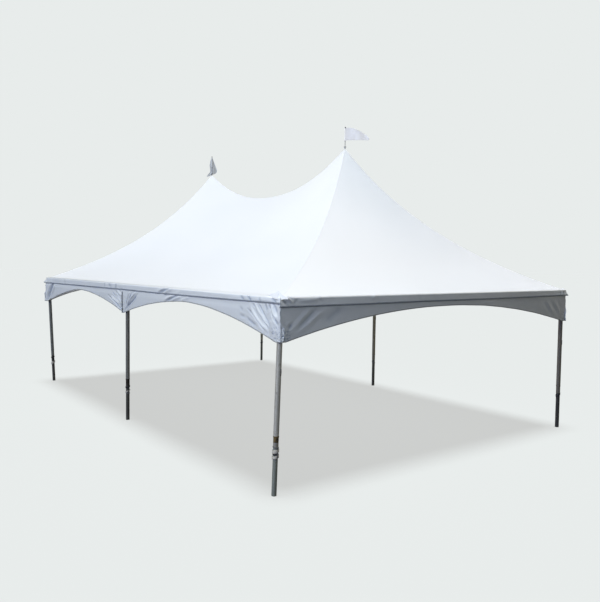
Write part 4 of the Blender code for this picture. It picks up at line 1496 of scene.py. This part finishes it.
# Legs: their axes come from the slide joints, and straps and slots sit round them
def legTop(key, z):
    end, side = key.split("_")
    return Vector((sideOf[side] * legX, endOf[end] * legY, z))


legTopZ = railZ - 0.1225
nearLeft = 233.4                         # degrees from +X to the way that faces the camera
legAxes = {}
for joint in frame["joints"]:
    if joint["name"].startswith("leg_slide_"):
        axis = Vector(joint["axis"]).normalized()
        legAxes[joint["name"].replace("leg_slide_", "")] = axis if axis.z > 0 else -axis


def onLeg(key, angle, z, radius):
    # a point beside a leg's axis at height z; angle 0 faces the near left, 90 is to its right
    axis = legAxes[key]
    centre = legTop(key, legTopZ) + axis * ((z - legTopZ) / axis.z)
    facing = math.radians(nearLeft + angle)
    way = Vector((math.cos(facing), math.sin(facing), 0.0))
    return centre + way * radius, way


# leg: loops of (height, rise from left to right, width, radius, look),
# strands of (angle, low, high, width, look)
legStraps = {
    "front_left": {"loops": [(0.552, 0.008, 0.044, 0.0395, "pale"), (0.480, 0.010, 0.038, 0.0395, "pale"),
                             (0.516, -0.006, 0.030, 0.0345, "black"), (0.600, -0.004, 0.016, 0.0360, "grey")],
                   "strands": [(34, 0.462, 0.560, 0.014, "grey")]},
    "mid_left": {"loops": [(0.520, 0.020, 0.018, 0.0395, "pale"), (0.595, 0.010, 0.034, 0.0365, "black"),
                           (0.486, -0.006, 0.020, 0.0345, "grey")],
                 "strands": [(30, 0.530, 0.600, 0.018, "black")]},
    "back_left": {"loops": [(0.432, 0.026, 0.050, 0.0405, "pale"), (0.560, 0.012, 0.030, 0.0365, "black")],
                  "strands": [(40, 0.450, 0.560, 0.020, "black")]},
    "front_right": {"loops": [(0.575, 0.024, 0.030, 0.0360, "black")], "strands": []},
    "mid_right": {"loops": [(0.545, -0.016, 0.026, 0.0350, "grey")], "strands": []},
    "back_right": {"loops": [(0.520, 0.012, 0.026, 0.0350, "black")], "strands": []},
}
strapShape = {"thickness": 0.0018, "lap": 0.0022, "bulge": 0.0025, "strandOut": 0.0432}


def buildStrap(name, places, width, look, length=None):
    # a band through places round a leg; each place is a point and the way out there
    line, facings = zip(*places)
    strap = linkMesh(name, ribbon(name, line, facings, width, strapShape["thickness"]), strapLooks[look])
    length = length or sum((b - a).length for a, b in zip(line, line[1:]))


def buildStraps(key):
    for number, (height, rise, width, radius, look) in enumerate(legStraps[key]["loops"], start=1):
        places = []
        for angle in np.linspace(-200.0, 200.0, 64):
            lap = strapShape["lap"] * smoothStep((angle - 130.0) / 60.0)
            bulge = strapShape["bulge"] * math.sin(math.radians(angle * 2.0 + 40.0 * number)) ** 2
            z = height + rise * math.sin(math.radians(angle))
            places.append(onLeg(key, angle, z, radius + lap + bulge))
        buildStrap(f"strap_{key}_{number}", places, width, look)
    for number, (angle, low, high, width, look) in enumerate(legStraps[key]["strands"], start=1):
        out = strapShape["strandOut"]
        places = [onLeg(key, angle + 6.0 * math.sin(t * 3.0), low + (high - low) * t, out - 0.003 * t)
                  for t in np.linspace(0.0, 1.0, 14)]
        buildStrap(f"strap_{key}_strand{number}", places, width, look,
                   high - low)


slotPlaces = {"front_left": (1.52, 52), "mid_left": (1.62, 58), "back_left": (1.56, 60),
              "front_right": (1.50, 50), "mid_right": (1.58, 50), "back_right": (1.54, 50)}
slotRim = {"halfWidth": 0.0125, "halfHeight": 0.040, "radius": 0.0030, "rise": 0.0028, "tube": 0.0355}


def buildSlot(key):
    # an oval opening's raised rim on the upper tube
    height, angle = slotPlaces[key]
    rim, rings = slotRim, []
    for section in np.linspace(0.0, 2 * math.pi, 8, endpoint=False):
        grow = rim["radius"] * math.cos(section)
        out = rim["tube"] + 0.0008 + rim["rise"] * math.sin(section)
        ring = []
        for t in np.linspace(0.0, 2 * math.pi, 41):
            sideways = (rim["halfWidth"] + grow) * math.cos(t)
            upward = (rim["halfHeight"] + grow) * math.copysign(abs(math.sin(t)) ** 0.8, math.sin(t))
            turned = angle + math.degrees(sideways / rim["tube"])
            ring.append(onLeg(key, turned, height + upward, out)[0])
        rings.append(ring)
    name = f"slot_rim_{key}"
    linkMesh(name, closedTube(name, np.array(rings)), fittingSteel)


for key in legKeys:
    buildStraps(key)
    buildSlot(key)
print("straps and slot rims")


# Bolts: a washer, a hexagon head and a thread end at each point, turned out of its tube
boltSize = {"Head": 0.0085, "Height": 0.0065, "Washer": 0.0125, "Washer height": 0.0016, "Thread": 0.0045}


def buildBoltTree():
    inputs = {label: ("Float", size) for label, size in boltSize.items()}
    tree = GeoTree("bolt_set", {**inputs, "Material": ("Material", None)})
    washerHeight, height = tree.value("Washer height"), tree.value("Height")
    pieces = []
    for sides, radius, depth, level in (
            (20, tree.value("Washer"), washerHeight, washerHeight * 0.5),
            (6, tree.value("Head"), height, washerHeight + height * 0.5),
            (10, tree.value("Thread"), height * 0.5, washerHeight + height * 1.2)):
        sockets = {"Vertices": sides, "Radius": radius, "Depth": depth}
        solid = tree.add("GeometryNodeMeshCylinder", sockets)
        place = tree.add("ShaderNodeCombineXYZ", [0.0, 0.0, level])
        pieces.append(tree.add("GeometryNodeTransform", {"Geometry": solid, "Translation": place}))
    bolt = tree.add("GeometryNodeJoinGeometry", {"Geometry": pieces})
    turn = tree.add("FunctionNodeAlignRotationToVector", {"Vector": tree.facing()}, axis="Z")
    points = tree.add("GeometryNodeMeshToPoints", {"Mesh": tree.value("Geometry")})
    bolts = {"Points": points, "Instance": bolt, "Rotation": turn}
    tree.close(tree.add("GeometryNodeInstanceOnPoints", bolts))
    return tree


boltPlan = {
    "alongRails": (0.060, 0.115),       # from the leg line
    "downLeg": (0.062, 0.160, 0.215),   # below the rails' line
    "legFace": 0.0354,
    "lugOut": 0.0755,
    "lugDown": 0.057,
    "lugHalf": 0.0092,
    "inset": 0.0006,                    # bolts of neighbouring arms sit this much deeper, one by one
}


def boltPlaces():
    # each bolt's point and the way it faces
    plan = boltPlan
    onStub, onRail = plan["alongRails"]
    places = []
    down = Vector((0.0, 0.0, -1.0))
    for key in legKeys:
        end, side = key.split("_")
        centre = legTop(key, railZ)
        inward = Vector((-sideOf[side], 0.0, 0.0))
        arms = [inward] + [Vector((0.0, y, 0.0)) for y in (-1, 1) if abs(endOf[end] + y) <= 1]
        for rank, arm in enumerate(arms, start=1):
            places.append((centre + arm * onStub + down * (tubeRadius - plan["inset"] * rank), down))
            places.append((centre + arm * onRail + down * tubeRadius, down))
        for level in plan["downLeg"]:
            point, _ = onLeg(key, 0.0, railZ - level, 0.0)
            places.append((point + inward * plan["legFace"], inward))
        for hubEnd in ("front", "back") if end == "mid" else (end,):
            hub = Vector((0.0, endOf[hubEnd] * peakY, railZ))
            heading = (hub - centre).normalized()
            aside = Vector((-heading.y, heading.x, 0.0))
            lug = centre + heading * plan["lugOut"] + down * plan["lugDown"]
            places += [(lug + aside * sign * plan["lugHalf"], aside * sign) for sign in (-1.0, 1.0)]
    return places


def buildBolts():
    points, ways = zip(*boltPlaces())
    mesh = bpy.data.meshes.new("bolts")
    mesh.from_pydata([tuple(p) for p in points], [], [])
    markPoints(mesh, "facing", [tuple(way) for way in ways], "FLOAT_VECTOR")
    made = buildBoltTree().result("frame_bolts", mesh, {**boltSize, "Material": boltSteel})
    linkMesh("frame_bolts", made, boltSteel)
    return len(points)


print("bolts", buildBolts())


# Studio: pale floor, soft lights, the photograph's camera
studio = {
    "backdrop": (0.807, 0.839, 0.831),
    "floorOwn": (0.741, 0.7255, 0.720),      # what the floor keeps of its tone in full shadow
    "ambient": (0.015, 0.016, 0.018),
    "floorSize": 400.0,
    "floorPower": 4.0,                       # light on the floor, with its base colour darker by as much
}
# towards the light, strength, colour, angular size in degrees
suns = {
    "key_left": ((-0.743, 0.0, 0.669), 2.27, (0.93, 0.975, 0.94), 22.0),
    "low_left": ((-0.96, -0.05, 0.26), 0.40, (0.15, 0.30, 1.0), 40.0),
    "fill_right": ((0.90, -0.02, 0.42), 0.90, (0.80, 0.80, 0.88), 40.0),
    "fill_front": ((0.70, -0.62, 0.34), 0.36, (1.0, 0.92, 0.60), 40.0),
    "fill_back": ((0.0, 0.966, 0.26), 0.32, (0.86, 0.88, 0.92), 60.0),
    "bounce": ((0.0, 0.0, -1.0), 0.3, (1.0, 1.0, 1.0), 90.0),
}
floorSun = ((0.0, 0.0, 1.0), studio["floorPower"] * math.pi, (1.0, 1.0, 1.0), 18.0)
# soft panels near the front left corner and beside the left wall: place, aim, power, colour, side
panels = {
    "panel_near": ((-4.6, -9.6, 4.6), (-2.0, -4.4, 2.6), 50.0, (0.55, 0.72, 1.0), 2.0),
    "panel_side": ((-7.2, -5.2, 1.9), (-3.1, -3.4, 2.3), 20.0, (1.0, 0.96, 0.90), 2.0),
}
photoCamera = {
    "place": (-7.6859, -10.8318, 2.8435),
    "yaw": 0.619403,
    "pitchDown": 0.055412,
    "roll": 0.011085,
    "focalPixels": 649.24,
    "axisPixel": (269.11, 298.38),
    "image": (600, 602),
}


def buildFloor():
    half = studio["floorSize"] / 2
    corners = [(-half, -half, 0), (half, -half, 0), (half, half, 0), (-half, half, 0)]
    mesh = bpy.data.meshes.new("floor")
    mesh.from_pydata(corners, [], [(0, 1, 2, 3)])
    floor = bpy.data.objects.new("studio_floor", mesh)
    bpy.context.scene.collection.objects.link(floor)
    tones = list(zip(studio["backdrop"], studio["floorOwn"], studio["ambient"]))
    lit = [tone * (1.0 - own) / (studio["floorPower"] + ambient) for tone, own, ambient in tones]
    paint = Finish("pale_floor", lit, 1.0)
    paint.feed("Specular IOR Level", 0.0)
    paint.glow([tone * own for tone, own, _ in tones])
    mesh.materials.append(paint.material)
    floor.visible_diffuse = False
    floor.visible_glossy = False
    floor.visible_shadow = False
    return floor


def buildLamp(name, kind, toward, power, colour, floor, forFloor=False):
    lamp = bpy.data.lights.new(name, kind)
    lamp.color = colour
    lamp.energy = power
    obj = bpy.data.objects.new(name, lamp)
    obj.rotation_mode = "QUATERNION"
    obj.rotation_quaternion = Vector(toward).to_track_quat("Z", "Y")
    bpy.context.scene.collection.objects.link(obj)
    # the floor has its own light, and the tent's lights leave it alone
    group = bpy.data.collections.new(f"{name}_receivers")
    group.objects.link(floor)
    group.collection_objects[0].light_linking.link_state = "INCLUDE" if forFloor else "EXCLUDE"
    obj.light_linking.receiver_collection = group
    return obj, lamp


def buildWorld():
    world = bpy.data.worlds.new("studio")
    bpy.context.scene.world = world
    world.use_nodes = True
    tree = world.node_tree
    tree.nodes.clear()
    seen = addNode(tree, "ShaderNodeLightPath", output="Is Camera Ray")
    dim, pale = (addNode(tree, "ShaderNodeBackground", [(*studio[tone], 1.0), 1.0])
                 for tone in ("ambient", "backdrop"))
    mixed = addNode(tree, "ShaderNodeMixShader", [seen, dim, pale])
    addNode(tree, "ShaderNodeOutputWorld", [mixed])


def buildCamera():
    view = photoCamera
    yaw, pitch, roll = view["yaw"], view["pitchDown"], view["roll"]
    right = Vector((math.cos(yaw), -math.sin(yaw), 0.0))
    ahead = Vector((math.sin(yaw) * math.cos(pitch), math.cos(yaw) * math.cos(pitch), -math.sin(pitch)))
    up = right.cross(ahead)
    tiltedRight = right * math.cos(roll) + up * math.sin(roll)
    tiltedUp = up * math.cos(roll) - right * math.sin(roll)
    turned = Matrix((tiltedRight, tiltedUp, -ahead)).transposed().to_4x4()
    camera = bpy.data.cameras.new("camera")
    camera.sensor_width = 36.0
    wide, tall = view["image"]
    camera.lens = camera.sensor_width * view["focalPixels"] / max(wide, tall)
    camera.shift_x = (wide / 2 - view["axisPixel"][0]) / max(wide, tall)
    camera.shift_y = (view["axisPixel"][1] - tall / 2) / max(wide, tall)
    camera.clip_end = 1000.0
    eye = bpy.data.objects.new("camera", camera)
    eye.matrix_world = Matrix.Translation(view["place"]) @ turned
    bpy.context.scene.collection.objects.link(eye)
    bpy.context.scene.camera = eye


bpy.context.scene.view_settings.view_transform = "Standard"
buildWorld()
floor = buildFloor()
for name, (toward, strength, colour, size) in {**suns, "floor_light": floorSun}.items():
    _, lamp = buildLamp(name, "SUN", toward, strength, colour, floor, name == "floor_light")
    lamp.angle = math.radians(size)
for name, (place, aim, power, colour, side) in panels.items():
    panel, lamp = buildLamp(name, "AREA", Vector(place) - Vector(aim), power, colour, floor)
    panel.location = place
    lamp.size = side
buildCamera()
print("studio")
